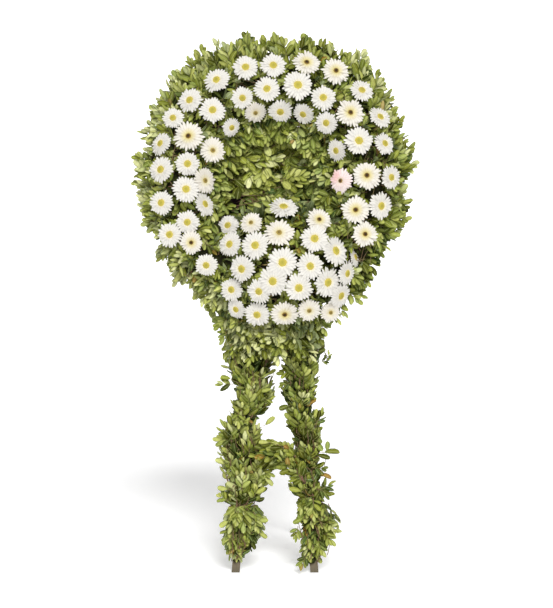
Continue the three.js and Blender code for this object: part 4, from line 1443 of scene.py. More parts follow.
    def _curtain(self, sector: Sector) -> None:
        """Sprigs that hang from the ring's inner side over the edge of the dish."""
        rng, head = self.green.rng, self.green.head
        for _i, angle in sector.spread(int((sector.end - sector.start) / self.curtain_gap)):
            out = clock(angle)
            base, normal = head.ring_point(angle, rng.uniform(-96, -62), 0.9)
            if out[2] > -0.3 and not head.in_cushion(base, 0.95):
                way = vec(0, -0.25, 0) - out * rng.uniform(0.5, 1.0) + vec(rng.normal(0, 0.4), 0, -0.5)
                tint = Tint(0.42 + rng.normal(0, 0.15), 0.2)
                up = vec(0, -1, 0.2) + 0.3 * normal
                self.green.plant(sector, MIDDLE, base, way, up, tint, rng.uniform(0.85, 1.1))

    def _bare_twigs(self, sector: Sector) -> None:
        """Bare twigs that show between the sprigs."""
        rng, head = self.green.rng, self.green.head
        for _twig in range(int((sector.end - sector.start) / self.twig_gap)):
            angle, turn = rng.uniform(sector.start, sector.end), rng.uniform(-70, 70)
            tail = head.ring_point(angle, turn, 0.84)[0]
            tip = head.ring_point(angle + rng.normal(0, 9), turn + rng.normal(0, 28), 1.05)[0]
            if not head.in_cushion(tip, 1.0):
                self.green.twig(sector, tail, tip, rng.normal(0, 4, 3), 1.8)

    def _stand_outs(self, sector: Sector) -> None:
        """The sprigs that break the ring's outline."""
        for accent in self.accents:
            angle = math.degrees(math.atan2(accent.z, accent.x))
            angle += 360 if angle < self.ends[0] else 0
            if sector.start <= angle < sector.end:
                tip = vec(accent.x, self.green.head.ring_depth, accent.z)
                dusk = 0.22 if accent.x > 0 > accent.z else 0.0
                self.green.plant_to(sector, accent, tip, Tint(0.5 - dusk, 0.2))


@dataclass
class CushionFoliage:
    """The cushion's foliage, mostly hidden under its blooms."""

    green: Greenery
    sprigs: int = 250  # how many sprigs
    accent_depth: float = 110.0  # where their tips are, in front of the ring's middle plane
    core_back: float = 16.0  # the core's flat back, in the same way
    accents: tuple[Accent, ...] = stand_outs(  # sprigs that stand out
        (256, -470, -58, MIDDLE), (225, -500, -70), (300, -430, -48, MIDDLE, 0.9), (-150, -500, 240),
        (-120, -535, 250, MIDDLE, 0.9), (180, -530, -72, MIDDLE, 0.9))

    def build(self) -> None:
        """Makes the piece."""
        rng, head, stock = self.green.rng, self.green.head, Stock()
        self._core(stock)
        for i in range(self.sprigs):
            forward = 1 - (i + 0.5) / self.sprigs * 1.02
            angle = i * GOLDEN_ANGLE
            flat = math.sqrt(max(0.0, 1 - forward * forward))
            direction = vec(flat * math.cos(angle), -forward, flat * math.sin(angle))
            base, normal = head.cushion_point(direction, 0.84)
            side = unit(np.cross(normal, rng.normal(0, 1, 3)))
            low = max(0.0, -direction[2])
            way = side * rng.uniform(0.5, 1.0) + normal * rng.uniform(0.15, 0.8) + vec(0, 0, -0.7 * low)
            cut = SHORT if forward > 0.3 else MIDDLE
            up = normal + rng.normal(0, 0.2, 3)
            tint = Tint(0.48 + rng.normal(0, 0.12))
            self.green.plant(stock, cut, base, way, up, tint, rng.uniform(0.85, 1.05))
        for accent in self.accents:
            tip = vec(accent.x, -self.accent_depth, accent.z)
            self.green.plant_to(stock, accent, tip, Tint(0.48, 0.2))
        self.green.finish_piece(stock, "cushion_foliage", "cushion_leaves")

    def _core(self, stock: Stock) -> None:
        """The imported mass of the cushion."""
        verts, tris, uvs = ball(12, 26)
        lump = 0.82 + 0.04 * np.sin(verts[:, 0] * 9 + verts[:, 2] * 7) + 0.03 * np.sin(verts[:, 1] * 15)
        verts = verts * lump[:, None] * self.green.head.cushion_cover + self.green.head.cushion
        verts[:, 1] = np.minimum(verts[:, 1], -self.core_back)
        stock.add(verts, tris, uvs, 0.2, Finish.PACKED)


@dataclass
class DishFoliage:
    """The hollow in the ring's middle: sprays laid nearly level over a dark bed."""

    green: Greenery
    # how many sprays, how far above the bed and how much paler, for each layer; the lower layer's darker tone
    # is painted shade under the top layer, the top layer's paler tone painted light
    layers: tuple[tuple[int, float, float], ...] = ((78, 3.0, -0.3), (60, 19.0, 0.07))
    twigs: int = 60  # how many bare twigs lie among them
    bed: float = 30.0  # depth of the bed in front of the ring's middle plane
    # where the top layer leaves the bed bare: across, up and radius
    gaps: tuple[tuple[float, float, float], ...] = (
        (-158, 30, 34), (12, 66, 22), (-10, -60, 18), (96, 40, 16))
    bright_depth: float = 58.0  # how far in front of the bed their tips are
    bright: tuple[Accent, ...] = stand_outs(  # yellow-green sprays that lie on top
        (-42, 92, -3, SPRAY, 1.2), (-26, 56, -18, SPRAY, 1.1), (-12, -22, -76, SHORT, 1.4),
        (136, 24, 6, SPRAY), (116, -12, -12, SHORT, 1.4), (-26, 146, -80, SHORT, 1.4),
        (-96, 66, 12, SHORT, 1.3))

    def build(self) -> None:
        """Makes the piece."""
        rng, head, stock = self.green.rng, self.green.head, Stock()
        radius = head.dish_radius
        verts, tris, uvs = lathe([(0, -8), (radius * 0.99, -8), (radius, 6), (radius * 0.8, 12), (0, 14)], 36)
        bed = np.column_stack([verts[:, 0], -22 - verts[:, 2], verts[:, 1]])
        bed[:, 1] -= 5 * np.sin(bed[:, 0] * 0.11) * np.sin(bed[:, 2] * 0.13)
        # painted shadow: a tone of 0.8 gives the bed mostly the packed foliage's purple-brown shadow colour
        stock.add(bed, tris, uvs, 0.8, Finish.PACKED)
        for sprays, above_bed, paler in self.layers:
            for i in range(sprays):
                reach = 0.98 * radius * math.sqrt((i + 0.5) / sprays)
                angle = i * GOLDEN_ANGLE + paler
                depth = self.bed + above_bed + rng.uniform(0, 8)
                base = vec(reach * math.cos(angle), -depth, reach * math.sin(angle))
                if not head.in_cushion(base, 0.92):
                    self._spray(stock, base, paler)
        for accent in self.bright:
            tip = vec(accent.x, -self.bed - self.bright_depth, accent.z)
            self.green.plant_to(stock, accent, tip, Tint(0.62, 0.0, growth_and_shade=0.05))
        for _twig in range(self.twigs):
            across, depth = rng.uniform(-0.85, 0.6) * radius, self.bed + rng.uniform(10, 26)
            start = vec(across, -depth, rng.uniform(-0.5, 0.8) * radius)
            slope = rng.normal(0.1, 0.5)
            end = start + rng.uniform(50, 110) * vec(math.cos(slope), -0.1, math.sin(slope))
            self.green.twig(stock, start, end, vec(0, -6, rng.normal(0, 8)), 1.9)
        self.green.finish_piece(stock, "dish_foliage", "dish_leaves", "shaded_leaves")

    def _spray(self, stock: Stock, base: Array, paler: float) -> None:
        """Plants one spray.

        Args:
            stock: the piece.
            base: where it starts.
            paler: how much paler it is than usual; negative for painted shade, positive for painted light.
        """
        rng = self.green.rng
        right, _depth, high = base / self.green.head.dish_radius
        heading = rng.normal(4, 18) if high > -0.2 else rng.normal(-50, 40)
        if right > 0.15:
            heading = rng.normal(160, 35) if rng.random() < 0.5 else rng.normal(-55, 35)
        if high > 0.5:
            heading = rng.normal(-85, 30)
        angle = math.radians(heading)
        way = vec(math.cos(angle), -rng.uniform(0.0, 0.18), math.sin(angle))
        cut = SPRAY if rng.random() < 0.7 else SHORT
        size = rng.uniform(1.0, 1.3)
        middle = base + way * cut.reach * size / 2
        if paler > 0 and any(math.hypot(middle[0] - x, middle[2] - z) < reach for x, z, reach in self.gaps):
            return
        cool = 0.02 + 0.6 * max(0.0, right) + (0.25 if high < -0.2 else 0)
        sunny = 0.1 if -0.7 < right < 0.1 and -0.1 < high < 0.5 else -0.06
        tone = 0.5 + sunny + paler - 0.12 * max(0.0, right) + rng.normal(0, 0.15)
        up = vec(0, -1, 0.25) + rng.normal(0, 0.2, 3)
        self.green.plant(stock, cut, base, way, up, Tint(tone, cool, growth_and_shade=0.12), size)


@dataclass
class CollarFoliage:
    """The collar under the head, where the foliage parts into the two legs."""

    green: Greenery
    middle: tuple[float, float, float] = (-4, -28, 0)  # of its axis, with the height left at zero
    bottom: float = -548.0  # its lower end above the ring's middle
    top: float = -425.0  # its upper end
    half_widths: tuple[float, float] = (146, 204)  # at the bottom and at the top
    half_depth: float = 66.0  # from its axis to its front
    core_half_width: float = 150.0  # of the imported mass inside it
    sprigs: int = 190  # how many sprigs
    accent_depth: float = 20.0  # how far in front of the axis their tips are
    accents: tuple[Accent, ...] = stand_outs(  # sprigs that stand out
        (-214, -508, 215), (-200, -488, 190), (-190, -560, 230), (176, -560, -60),
        (-196, -440, 205, MIDDLE, 0.95))

    def build(self) -> None:
        """Makes the piece."""
        rng, stock = self.green.rng, Stock()
        axis, height = vec(*self.middle), self.top - self.bottom
        verts, tris, uvs = lathe([(0, 0.1), (0.5, 0.12), (0.62, 0.4), (0.8, 0.8), (0.85, 1.0), (0, 1.05)], 24)
        core = verts * vec(self.core_half_width, self.half_depth, height) + axis + vec(0, 0, self.bottom)
        stock.add(core, tris, uvs, 0.2, Finish.PACKED)
        for i in range(self.sprigs):
            share = (i + 0.5) / self.sprigs
            angle = i * GOLDEN_ANGLE
            half = float(np.interp(share, (0, 1), self.half_widths))
            side = vec(math.cos(angle), math.sin(angle), 0)
            level = self.bottom + height * share
            base = axis + vec(half * 0.72, self.half_depth * 0.9, 0) * side + vec(0, 0, level)
            lie = math.radians(rng.normal(-75, 60))
            along = unit(np.cross(side, vec(0, 0, 1))) * math.cos(lie) + vec(0, 0, math.sin(lie))
            way = along + side * rng.uniform(0.1, 0.6)
            up = side + vec(0, -0.5, 0.1) + rng.normal(0, 0.25, 3)
            # Painted light and shade: the sprigs are made paler against the shade the cushion casts on the
            # collar, and every third sprig is made darker as painted shade between them.
            tint = Tint(0.95 - (0.66 if i % 3 == 1 else 0) + rng.normal(0, 0.16), 0.0)
            cut = MIDDLE if i % 3 else SHORT
            self.green.plant(stock, cut, base, way, up, tint, rng.uniform(0.85, 1.15))
        for accent in self.accents:
            tip = vec(accent.x, axis[1] - self.accent_depth, accent.z)
            self.green.plant_to(stock, accent, tip, Tint(0.45, 0.2))
        self.green.finish_piece(stock, "collar_foliage", "collar_leaves")


@dataclass(frozen=True)
class LegBundle:
    """One bundle of foliage tied on a leg."""

    node: str  # the CAD node that it stands for
    # height above the floor, left edge and right edge, from bottom to top
    outline: tuple[tuple[float, float, float], ...]
    point: int = 1  # 1 where sprigs point up, -1 where they hang
    steepness: tuple[float, float] = (1.2, 3.2)  # how steep the sprigs are, least and most
    density: float = 0.38  # sprigs for each millimetre of height
    tint: Tint = Tint(0.45, 0.12)  # the usual leaf colours
    accents: tuple[Accent, ...] = ()  # sprigs that stand out

    @property
    def bottom(self) -> float:
        """Height of its lower end above the floor."""
        return self.outline[0][0]

    @property
    def top(self) -> float:
        """Height of its upper end above the floor."""
        return self.outline[-1][0]

    def across(self, height: float) -> tuple[float, float]:
        """The middle and the half width of its outline at a height.

        Args:
            height: above the floor.

        Returns:
            The middle and the half width.
        """
        heights, lefts, rights = zip(*self.outline)
        left, right = float(np.interp(height, heights, lefts)), float(np.interp(height, heights, rights))
        return (left + right) / 2, (right - left) / 2


LEG_BUNDLES = (
    LegBundle("leg_leaves_left_upper", (
        (530, -142, -44), (590, -140, -6), (640, -144, 4), (690, -154, 12), (730, -170, 18), (810, -188, 24)),
        accents=stand_outs(
            (-206, 650, 178, SHORT, 0.95), (-178, 676, 160, LEAF, 0.9), (10, 600, 8, SHORT, 0.72),
            (8, 690, 20, LEAF, 0.9))),
    LegBundle("leg_leaves_left_middle", (
        (222, -150, -72), (275, -176, -58), (330, -178, -14), (391, -188, 0), (445, -192, -32),
        (500, -188, -40), (562, -156, -56)),
        tint=Tint(0.47, 0.12),
        accents=stand_outs(
            (12, 396, 50, SHORT, 0.8), (10, 366, 10, LEAF, 1.1), (-10, 420, 60, LEAF, 1.2),
            (-206, 464, 172, SHORT, 0.9), (-202, 440, 196, LEAF, 1.1), (-184, 524, 112),
            (-150, 540, 98, LEAF, 1.1), (-200, 393, 158, LEAF, 1.3), (-198, 276, 146, SHORT, 0.7),
            (-190, 298, 165, LEAF), (7, 526, 28, LEAF, 1.15), (0, 328, -24, SHORT, 0.85),
            (-6, 300, -48, LEAF, 1.1))),
    LegBundle("leg_leaves_left_foot", (
        (34, -146, -114), (56, -160, -98), (84, -174, -40), (119, -182, -20), (173, -192, -30),
        (215, -164, -60), (240, -146, -74)),
        point=-1, steepness=(1.4, 3.4), tint=Tint(0.47, 0.2),
        accents=stand_outs(
            (-18, 178, -8, LEAF), (-24, 120, -42, LEAF, 0.9), (-190, 165, 205, LEAF, 1.1))),
    LegBundle("leg_leaves_right_upper", (
        (570, 44, 148), (640, 24, 148), (690, 30, 152), (730, 36, 168), (810, 20, 190)),
        tint=Tint(0.24, 0.16),
        accents=stand_outs(
            (13, 687, 182, SHORT, 0.75), (18, 632, 205, SHORT, 0.7), (202, 733, 12, SHORT, 0.55),
            (190, 765, 82, SHORT, 0.5))),
    LegBundle("leg_leaves_right_middle", (
        (252, 102, 150), (289, 72, 196), (337, 62, 146), (377, 60, 156), (445, 68, 186), (513, 56, 164),
        (560, 38, 164), (612, 46, 146)),
        tint=Tint(0.22, 0.14, 0.03),
        accents=stand_outs(
            (192, 352, -10, SHORT, 0.8), (196, 326, -24, LEAF, 1.1), (16, 566, 192, LEAF, 1.1),
            (170, 566, 68, SHORT, 0.9), (224, 413, -2, LEAF, 1.4), (192, 452, 80, LEAF),
            (188, 388, -28, LEAF, 1.2), (216, 314, 26, SHORT, 0.9), (214, 274, -14, SHORT, 0.9),
            (176, 248, -62, SHORT, 0.7), (58, 296, 160, LEAF, 1.2), (44, 505, 178, SHORT, 0.7))),
    LegBundle("leg_leaves_right_foot", (
        (30, 106, 152), (60, 98, 178), (105, 94, 214), (146, 82, 230), (200, 74, 182), (245, 98, 148),
        (270, 106, 144)),
        point=-1, steepness=(1.3, 3.0), tint=Tint(0.4, 0.14, 0.04),
        accents=stand_outs(
            (240, 146, -22, MIDDLE, 0.95), (212, 96, -50, MIDDLE, 0.9), (184, 58, -64),
            (68, 180, 198, LEAF, 1.1), (96, 10, -108, SHORT, 0.85, 0.3), (76, 108, -100, SHORT, 0.8, 0.3))),
)


@dataclass
class LegFoliage:
    """The bundles of foliage on the two front legs."""

    green: Greenery
    batten_depth: float = 29.0  # the battens' middle behind the ring's middle plane
    accent_depth: float = 48.0  # how far in front of the batten's middle the standing-out sprigs are
    forward: float = 12.0  # how far the bundles' middle is in front of the batten's middle
    half_depth: float = 80.0  # the most that a bundle reaches forwards and back
    twigs: float = 0.07  # bare twigs for each millimetre of height
    twine_radius: float = 1.1  # of the tie
    twine_turns: int = 4  # how often it goes round

    def build(self) -> None:
        """Makes the six pieces."""
        for bundle in LEG_BUNDLES:
            stock = Stock()
            self._core(stock, bundle)
            self._sprigs(stock, bundle)
            for accent in bundle.accents:
                z = self.green.place.height_of(accent.z)
                tip = vec(accent.x, self.batten_depth - self.accent_depth, z)
                self.green.plant_to(stock, accent, tip, bundle.tint)
            self._bare_twigs(stock, bundle)
            self._ties(stock, bundle)
            self.green.finish_piece(stock, bundle.node.replace("leaves", "foliage"), bundle.node)

    def _middle(self, bundle: LegBundle, height: float) -> Array:
        """The middle of a bundle at a height above the floor."""
        depth = self.batten_depth - self.forward
        return vec(bundle.across(height)[0], depth, self.green.place.height_of(height))

    def _core(self, stock: Stock, bundle: LegBundle) -> None:
        """The twig ends bound round the batten."""
        heights = np.linspace(bundle.bottom + 4, bundle.top, 10)
        halves = [(0.46 * bundle.across(height)[1], step) for step, height in enumerate(heights)]
        verts, tris, uvs = lathe([(0, 0.0), *halves, (0, 9.0)], 12)
        middles = np.array([self._middle(bundle, heights[int(step)]) for step in verts[:, 2]])
        stock.add(middles + verts * vec(1, 0.9, 0), tris, uvs, 0.2, Finish.PACKED)

    def _sprigs(self, stock: Stock, bundle: LegBundle) -> None:
        """Sprigs laid like shingles, all pointing up or all pointing down, to the outline."""
        rng, place = self.green.rng, self.green.place
        low, high = place.height_of(bundle.bottom), place.height_of(bundle.top)
        count = int((bundle.top - bundle.bottom) * bundle.density)
        for i in range(count):
            height = bundle.bottom + (bundle.top - bundle.bottom) * (i + 0.5) / count
            half = bundle.across(height)[1]
            side = vec(math.cos(i * GOLDEN_ANGLE), math.sin(i * GOLDEN_ANGLE), 0)
            cut, size = (MIDDLE if i % 3 == 0 else SHORT), rng.uniform(0.76, 1.2)
            shaded = i % 5 in (1, 3)
            share = rng.uniform(0.56, 0.76) if shaded else rng.uniform(0.78, 1.0)
            tip = self._middle(bundle, height) + side * vec(half, min(half, self.half_depth), 0) * share
            stray = i % 4 == 0 and height > bundle.bottom + 70
            steep = rng.normal(0, 1.2) if stray else bundle.point * rng.uniform(*bundle.steepness)
            way = unit(side + vec(0, 0, steep) + rng.normal(0, 0.2, 3))
            base = tip - way * cut.reach * size
            base[2] = min(max(base[2], low), high)
            up = side + (vec(0, -0.9, 0.2) if side[1] < 0.35 else 0) + rng.normal(0, 0.25, 3)
            # Painted shade on the sprigs set deeper into the bundle, painted light on the outer ones.
            tone = bundle.tint.tone + (-0.46 if shaded else 0.14) + rng.normal(0, 0.14)
            tint = Tint(tone, bundle.tint.cool, bundle.tint.aged)
            self.green.plant(stock, cut, base, way, up, tint, size)

    def _bare_twigs(self, stock: Stock, bundle: LegBundle) -> None:
        """Twigs that show between the sprigs, bound in along the leg."""
        rng = self.green.rng
        for _twig in range(int((bundle.top - bundle.bottom) * self.twigs)):
            height, angle = rng.uniform(bundle.bottom, bundle.top - 80), rng.uniform(-math.pi, 0)
            side = vec(math.cos(angle), math.sin(angle), 0)
            ends = [self._middle(bundle, at) + side * 0.72 * bundle.across(at)[1] + rng.normal(0, 5, 3)
                    for at in (height, height + rng.uniform(45, 90))]
            self.green.twig(stock, ends[0], ends[1], rng.normal(0, 4, 3), 1.6)

    def _ties(self, stock: Stock, bundle: LegBundle) -> None:
        """A few turns of twine where the bundle is tied on."""
        end = (bundle.bottom if bundle.point > 0 else bundle.top) + 12 * bundle.point
        radius = 0.48 * bundle.across(end)[1]
        steps = np.linspace(0, self.twine_turns * math.tau, 64)
        helix = np.column_stack([radius * np.cos(steps), radius * 0.92 * np.sin(steps), steps * 0.5])
        path = self._middle(bundle, end) + helix
        stock.add(*tube(path, [self.twine_radius] * len(steps), 5, 0.2), Finish.TWIG)


@dataclass
class BridgeFoliage:
    """The leafy branch that bridges the gap between the legs."""

    green: Greenery
    # its thicker branch's line, upright from the floor under the ring's middle
    branch: tuple[tuple[float, float, float], ...] = (
        (106, -166, 318), (80, -168, 360), (44, -168, 396), (4, -164, 408), (-40, -156, 396))
    shoot: tuple[tuple[float, float, float], ...] = (  # the thin shoot that arches over it
        (78, -164, 402), (48, -164, 434), (6, -160, 448), (-44, -150, 452))
    spacing: float = 8.0  # between sprigs, in millimetres
    tone: float = 0.3  # the usual tone of its leaves

    def build(self) -> None:
        """Makes the piece."""
        stock = Stock()
        self._branch(stock, self.branch, (3.2, 2.0), (SHORT, SHORT, MIDDLE))
        self._branch(stock, self.shoot, (2.2, 1.2), (LEAF,))
        self.green.finish_piece(stock, "bridge_foliage", "bridge_sprig")

    def _branch(self, stock: Stock, route: Sequence[tuple], thick: tuple[float, float],
                cuts: Sequence[Cut]) -> None:
        """One branch with sprigs that point along it.

        Args:
            stock: the piece.
            route: the points it passes.
            thick: its radius at the start and at the end.
            cuts: the sorts of sprig that it carries.
        """
        rng, place = self.green.rng, self.green.place
        floor_middle = place.origin * vec(1, 1, 0)
        points = np.array([place.from_row((vec(*point) + floor_middle) * MM) for point in route])
        steps = np.linspace(0, len(points) - 1, 20)
        path = np.column_stack([np.interp(steps, np.arange(len(points)), points[:, k]) for k in range(3)])
        for _smoothing in range(3):
            path[1:-1] = (path[:-2] + path[1:-1] + path[2:]) / 3
        stock.add(*tube(path, np.linspace(*thick, 20), 8, 0.5), Finish.TWIG)
        length = np.linalg.norm(np.diff(path, axis=0), axis=1).sum()
        for i in range(int(length / self.spacing)):
            at = int(17 * i * self.spacing / length)
            way = unit(path[at + 2] - path[at]) + rng.normal(0, 0.3, 3) + vec(0, -0.15, -0.1)
            up = vec(0, -1, 0.3) + rng.normal(0, 0.25, 3)
            base = path[at] + rng.normal(0, 3, 3)
            tint = Tint(self.tone + rng.normal(0, 0.16), 0.1, 0.03)
            self.green.plant(stock, cuts[i % len(cuts)], base, way, up, tint, rng.uniform(0.8, 1.1))


@dataclass
class Stand:
    """The timber stand: the CAD battens keep their shape and get sawn softwood and nails."""

    place: WreathFrame
    nodes: tuple[str, ...] = (  # the battens
        "front_leg_left", "front_leg_right", "rear_prop_left", "rear_prop_right", "side_stretcher_left",
        "side_stretcher_right", "rear_stretcher", "upper_head_rail", "lower_head_rail")
    nail_radius: float = 3.4  # of a nail's head
    rear_inset: float = 82.0  # of the nails from the rear stretcher's ends
    side_inset: float = 12.0  # of the nails from a side stretcher's ends
    stagger: tuple[float, float] = (-5, 6)  # how far each nail of a pair is moved along and up

    def build(self) -> None:
        """Gives every batten its wood and drives the nails."""
        wood = SawnSoftwood().build("sawn_spruce")
        for name in self.nodes:
            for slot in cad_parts[name].material_slots:
                slot.material = wood
            log.info("%s dressed", name)
        self._nails()

    def _nails(self) -> None:
        """Two nails through each end of the stretchers."""
        stock = Stock()
        low, high = (np.array(corner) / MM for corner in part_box("rear_stretcher"))
        level = (low[2] + high[2]) / 2
        for end in (low[0] + self.rear_inset, high[0] - self.rear_inset):
            for up in self.stagger:
                self._nail(stock, vec(end + up, high[1], level + up), vec(0, 1, 0))
        for name, inward in (("side_stretcher_left", 1), ("side_stretcher_right", -1)):
            low, high = (np.array(corner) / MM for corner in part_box(name))
            face, level = high[0] if inward > 0 else low[0], (low[2] + high[2]) / 2
            for end in (low[1] + self.side_inset, high[1] - self.side_inset):
                for up in self.stagger:
                    self._nail(stock, vec(face, end + up, level + up), vec(inward, 0, 0))
        steel = Plain("#77787A", 0.45, 0.9).build("bright_steel_nail")
        stock.piece("stretcher_nails", self.place, [steel], "batten_wood")

    def _nail(self, stock: Stock, at: Array, way: Array) -> None:
        """Adds one nail head.

        Args:
            stock: the piece.
            at: a point of the row frame, in millimetres.
            way: the way its head looks, in the row frame.
        """
        r = self.nail_radius
        verts, tris, uvs = lathe([(0, -2.0), (r, -1.0), (r, 0.6), (r * 0.8, 1.0), (0, 1.1)], 12)
        turned = np.column_stack([unit(np.cross(vec(0, 0, 1), way)), vec(0, 0, 1), way])
        stock.add(self.place.from_row((verts @ turned.T + at) * MM), tris, uvs, 0.5, 0)


class StrawFinish(IntEnum):
    """Material numbers of a straw piece."""

    STALK = 0
    PACKED = 1
    TWINE = 2


@dataclass
class StrawCore:
    """The bound straw ring, the straw cushion and the coiled mat behind the dish."""

    place: WreathFrame
    head: Head
    rng: Generator
    ring_radius: float = 316.0  # to the middle of the straw ring's section
    section: float = 76.0  # radius of that section
    stalks: int = 620  # how many stalks show on the ring
    twine_turns: int = 52  # turns of binding twine round the ring
    mat_radius: float = 236.0  # of the coiled mat
    rope: float = 12.0  # thickness of the mat's straw rope
    cushion_half: tuple[float, float, float] = (190, 132, 164)  # half axes of the straw cushion
    cushion_stalks: int = 230  # how many stalks show on the cushion
    stitches: int = 24  # rows of twine across the mat

    def build(self) -> None:
        """Makes the three pieces: straw in each, and twine on the ring and the mat."""
        # packed_straw is a darker copy of the straw: painted shade on the cores under the stalks
        finishes = [Straw().build("wheat_straw"), Straw("#8D7140", "#5B4423").build("packed_straw"),
                    Plain("#6B5A3C", 0.95).build("jute_twine")]
        self._ring(finishes)
        self._cushion(finishes)
        self._mat(finishes)

    def _round(self, clock_angle: Array, turn: Array, radius: float) -> Array:
        """Points round the straw ring.

        Args:
            clock_angle: in radians.
            turn: angle round the section, in radians.
            radius: from the section's middle.

        Returns:
            The points.
        """
        reach = self.ring_radius + radius * np.sin(turn)
        return np.column_stack([reach * np.cos(clock_angle), self.head.ring_depth - radius * np.cos(turn),
                                reach * np.sin(clock_angle)])

    def _ring(self, finishes: Sequence[Material]) -> None:
        """The straw ring: a packed core, stalks laid along it and a twine helix round it."""
        rng, stock = self.rng, Stock()
        along, around = 90, 14
        ways = np.repeat(np.arange(along) * math.tau / along, around)
        turns = np.tile(np.arange(around) * math.tau / around, along)
        loops = skin(along + 1, around)[: 2 * along * around] % (along * around)
        uvs = np.column_stack([ways * 40, turns * 12])
        stock.add(self._round(ways, turns, self.section - 5), loops, uvs, 0.3, StrawFinish.PACKED)
        share = np.linspace(0, 1, 6)
        for _stalk in range(self.stalks):
            start, length = rng.uniform(0, math.tau), rng.uniform(90, 230) / self.ring_radius
            turn = rng.uniform(0, math.tau) + rng.normal(0, 0.12) * share
            self._stalk(stock, self._round(start + share * length, turn, self.section - rng.uniform(2.4, 5)))
        steps = np.linspace(0, 1, self.twine_turns * 14)
        helix = self._round(steps * math.tau, steps * math.tau * self.twine_turns, self.section - 0.6)
        stock.add(*tube(helix, [1.3] * len(helix), 4), StrawFinish.TWINE)
        stock.piece("bound_straw_ring", self.place, finishes, "straw", "straw_ring")

    def _stalk(self, stock: Stock, path: Array) -> None:
        """Adds one stalk along a path."""
        verts, tris, uvs, share = tube(path, [self.rng.uniform(1.6, 2.4)] * len(path), 4)
        stock.add(verts, tris, uvs * (6, 2) + self.rng.uniform(0, 50), share, StrawFinish.STALK)

    def _cushion(self, finishes: Sequence[Material]) -> None:
        """The straw cushion: a packed core with stalks laid across it."""
        rng, stock = self.rng, Stock()
        half, middle = vec(*self.cushion_half), self.head.cushion
        verts, tris, uvs = ball(10, 20)
        core = verts * (half - 6) + middle
        core[:, 1] = np.minimum(core[:, 1], middle[1] + 26)
        stock.add(core, tris, uvs * 40, 0.3, StrawFinish.PACKED)
        for _stalk in range(self.cushion_stalks):
            height = rng.uniform(-0.92, 0.92)
            width = math.sqrt(1 - height * height)
            start, sweep = rng.uniform(0, math.tau), rng.uniform(0.5, 1.1)
            ways = start + np.linspace(0, sweep, 6)
            round_path = np.column_stack([width * np.cos(ways), width * np.sin(ways), np.full(6, height)])
            path = round_path * (half - rng.uniform(2.5, 5)) + middle
            path[:, 1] = np.minimum(path[:, 1], middle[1] + 28)
            self._stalk(stock, path)
        stock.piece("bound_straw_cushion", self.place, finishes, "straw", "straw_cushion")

    def _mat(self, finishes: Sequence[Material]) -> None:
        """The mat: one straw rope coiled flat and stitched across with twine."""
        stock, half, level = Stock(), self.rope / 2, self.place.backing_middle
        turns = (self.mat_radius - half) / self.rope
        count = int(turns * 62)
        share = np.sqrt(np.linspace(0.0008, 1, count))
        ways = share * turns * math.tau
        reach = share * (self.mat_radius - half)
        path = np.column_stack([reach * np.cos(ways), np.full(count, level), reach * np.sin(ways)])
        verts, tris, uvs, along = tube(path, [half] * count, 6)
        stock.add(verts, tris, uvs * (900, 3), along, StrawFinish.STALK)
        line = np.linspace(0.14, 0.99, 40) * self.mat_radius
        for index in range(self.stitches):
            way = math.tau * index / self.stitches
            wave = level + (half + 0.4) * np.sign(np.sin(line * math.pi / self.rope + index))
            path = np.column_stack([line * math.cos(way), wave, line * math.sin(way)])
            stock.add(*tube(path, [0.9] * len(path), 4), StrawFinish.TWINE)
        stock.piece("coiled_straw_mat", self.place, finishes, "straw", "dish_backing")


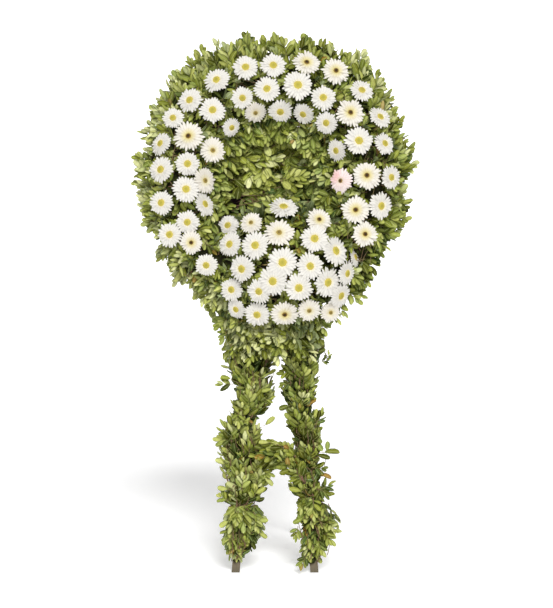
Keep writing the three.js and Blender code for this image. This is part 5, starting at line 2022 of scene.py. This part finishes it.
@dataclass
class Studio:
    """A pale floor that sweeps up into a wall, soft light and the camera."""

    distance: float = 4.9  # from the object's front to the camera, in metres
    eye_height: float = 1.30  # of the camera, in metres
    aim_height: float = 0.930  # where the middle of the view meets the object, in metres
    aside: float = 0.010  # how far the camera is to the right of the object's middle, in metres
    lens: float = 58.3  # focal length in millimetres
    aim_depth: float = -0.15  # where that is from the row's middle, in metres
    sensor: float = 24.0  # height of the camera's sensor in millimetres
    key_way: tuple[float, float, float] = (-0.20, 1.0, -0.82)  # where the soft key light goes
    key_strength: float = 2.95
    key_softness: float = 22.0  # its angle across, in degrees
    fill_way: tuple[float, float, float] = (0.25, 1.0, -0.22)  # where the broad front light goes
    fill_strength: float = 0.72
    fill_softness: float = 40.0
    surround: float = 0.18  # brightness of the white surround
    paper_glow: float = 0.22  # of the paper floor
    half_width: float = 16.0  # of the floor, in metres
    front: float = -9.0  # where the floor starts
    back: float = 9.0  # where the wall stands
    bend: float = 4.0  # radius of the curve between them
    wall: float = 14.0  # its height

    def build(self, low: Array, high: Array) -> None:
        """Builds the studio round the object.

        Args:
            low: lowest corner of the object's box, in metres.
            high: highest corner.
        """
        bpy.context.scene.view_settings.view_transform = "Standard"
        self._sweep()
        self._world()
        self._sun("soft_key", vec(*self.key_way), self.key_strength, self.key_softness)
        self._sun("front_fill", vec(*self.fill_way), self.fill_strength, self.fill_softness)
        self._camera(low, high)

    def _sweep(self) -> None:
        """A wide white floor that curves up into a wall far behind."""
        bend, start = self.bend, self.back - self.bend
        turns = np.linspace(0.1, math.pi / 2, 14)
        curve = [(start + bend * math.sin(turn), bend - bend * math.cos(turn)) for turn in turns]
        profile = [(self.front, 0.0), (0.0, 0.0), (start, 0.0), *curve, (self.back, self.wall)]
        verts = [(side, y, z) for y, z in profile for side in (-self.half_width, self.half_width)]
        faces = [(2 * i, 2 * i + 1, 2 * i + 3, 2 * i + 2) for i in range(len(profile) - 1)]
        mesh = bpy.data.meshes.new("studio_sweep")
        mesh.from_pydata(verts, [], faces)
        mesh.polygons.foreach_set("use_smooth", [True] * len(faces))
        mesh.materials.append(Plain("#F6F6F6", glow=self.paper_glow).build("white_paper_sweep"))
        floor = bpy.data.objects.new("studio_sweep", mesh)
        bpy.context.scene.collection.objects.link(floor)

    def _world(self) -> None:
        """An even white surround."""
        world = bpy.data.worlds.new("white_surround")
        world.use_nodes = True
        background = world.node_tree.nodes["Background"]
        background.inputs["Color"].default_value = (1.0, 1.0, 1.0, 1.0)
        background.inputs["Strength"].default_value = self.surround
        bpy.context.scene.world = world

    def _sun(self, name: str, way: Array, strength: float, softness: float) -> None:
        """A far light.

        Args:
            name: of the lamp.
            way: where its light goes.
            strength: in watts a square metre.
            softness: its angle across, in degrees.
        """
        data = bpy.data.lights.new(name, "SUN")
        data.energy = strength
        data.angle = math.radians(softness)
        lamp = bpy.data.objects.new(name, data)
        lamp.rotation_euler = look_along(way)
        bpy.context.scene.collection.objects.link(lamp)

    def _camera(self, low: Array, high: Array) -> None:
        """The camera, a little above the middle of the object.

        Args:
            low: lowest corner of the object's box, in metres.
            high: highest corner.
        """
        data = bpy.data.cameras.new("camera")
        data.sensor_fit = "VERTICAL"
        data.sensor_height = self.sensor
        data.lens = self.lens
        camera = bpy.data.objects.new("camera", data)
        across = (low[0] + high[0]) / 2 + self.aside
        at = vec(across, low[1] - self.distance, self.eye_height)
        camera.location = at
        camera.rotation_euler = look_along(vec(across, self.aim_depth, self.aim_height) - at)
        bpy.context.scene.collection.objects.link(camera)
        bpy.context.scene.camera = camera


def look_along(way: Array) -> Euler:
    """Euler angles that make a camera or lamp look along a direction.

    Args:
        way: the direction.

    Returns:
        The angles.
    """
    forward, left, up = basis(way, vec(0, 0, 1)).T
    return Matrix(np.column_stack([-left, up, -forward]).tolist()).to_euler()


def main() -> None:
    """Builds the wreath in order and reports each piece."""
    logging.basicConfig(level=logging.INFO, format="%(message)s")
    rng, place, head, keepout = np.random.default_rng(SEED), WreathFrame(), Head(), Keepout()
    Studio().build(*(np.array(corner) for corner in CAD_BOX))
    Stand(place).build()
    StrawCore(place, head, rng).build()
    Gerberas(place, head, rng).build(keepout)
    green = Greenery(rng, keepout, place, head)
    for dressed in (RingFoliage, CushionFoliage, DishFoliage, CollarFoliage, LegFoliage, BridgeFoliage):
        dressed(green).build()


if __name__ == "__main__":
    main()
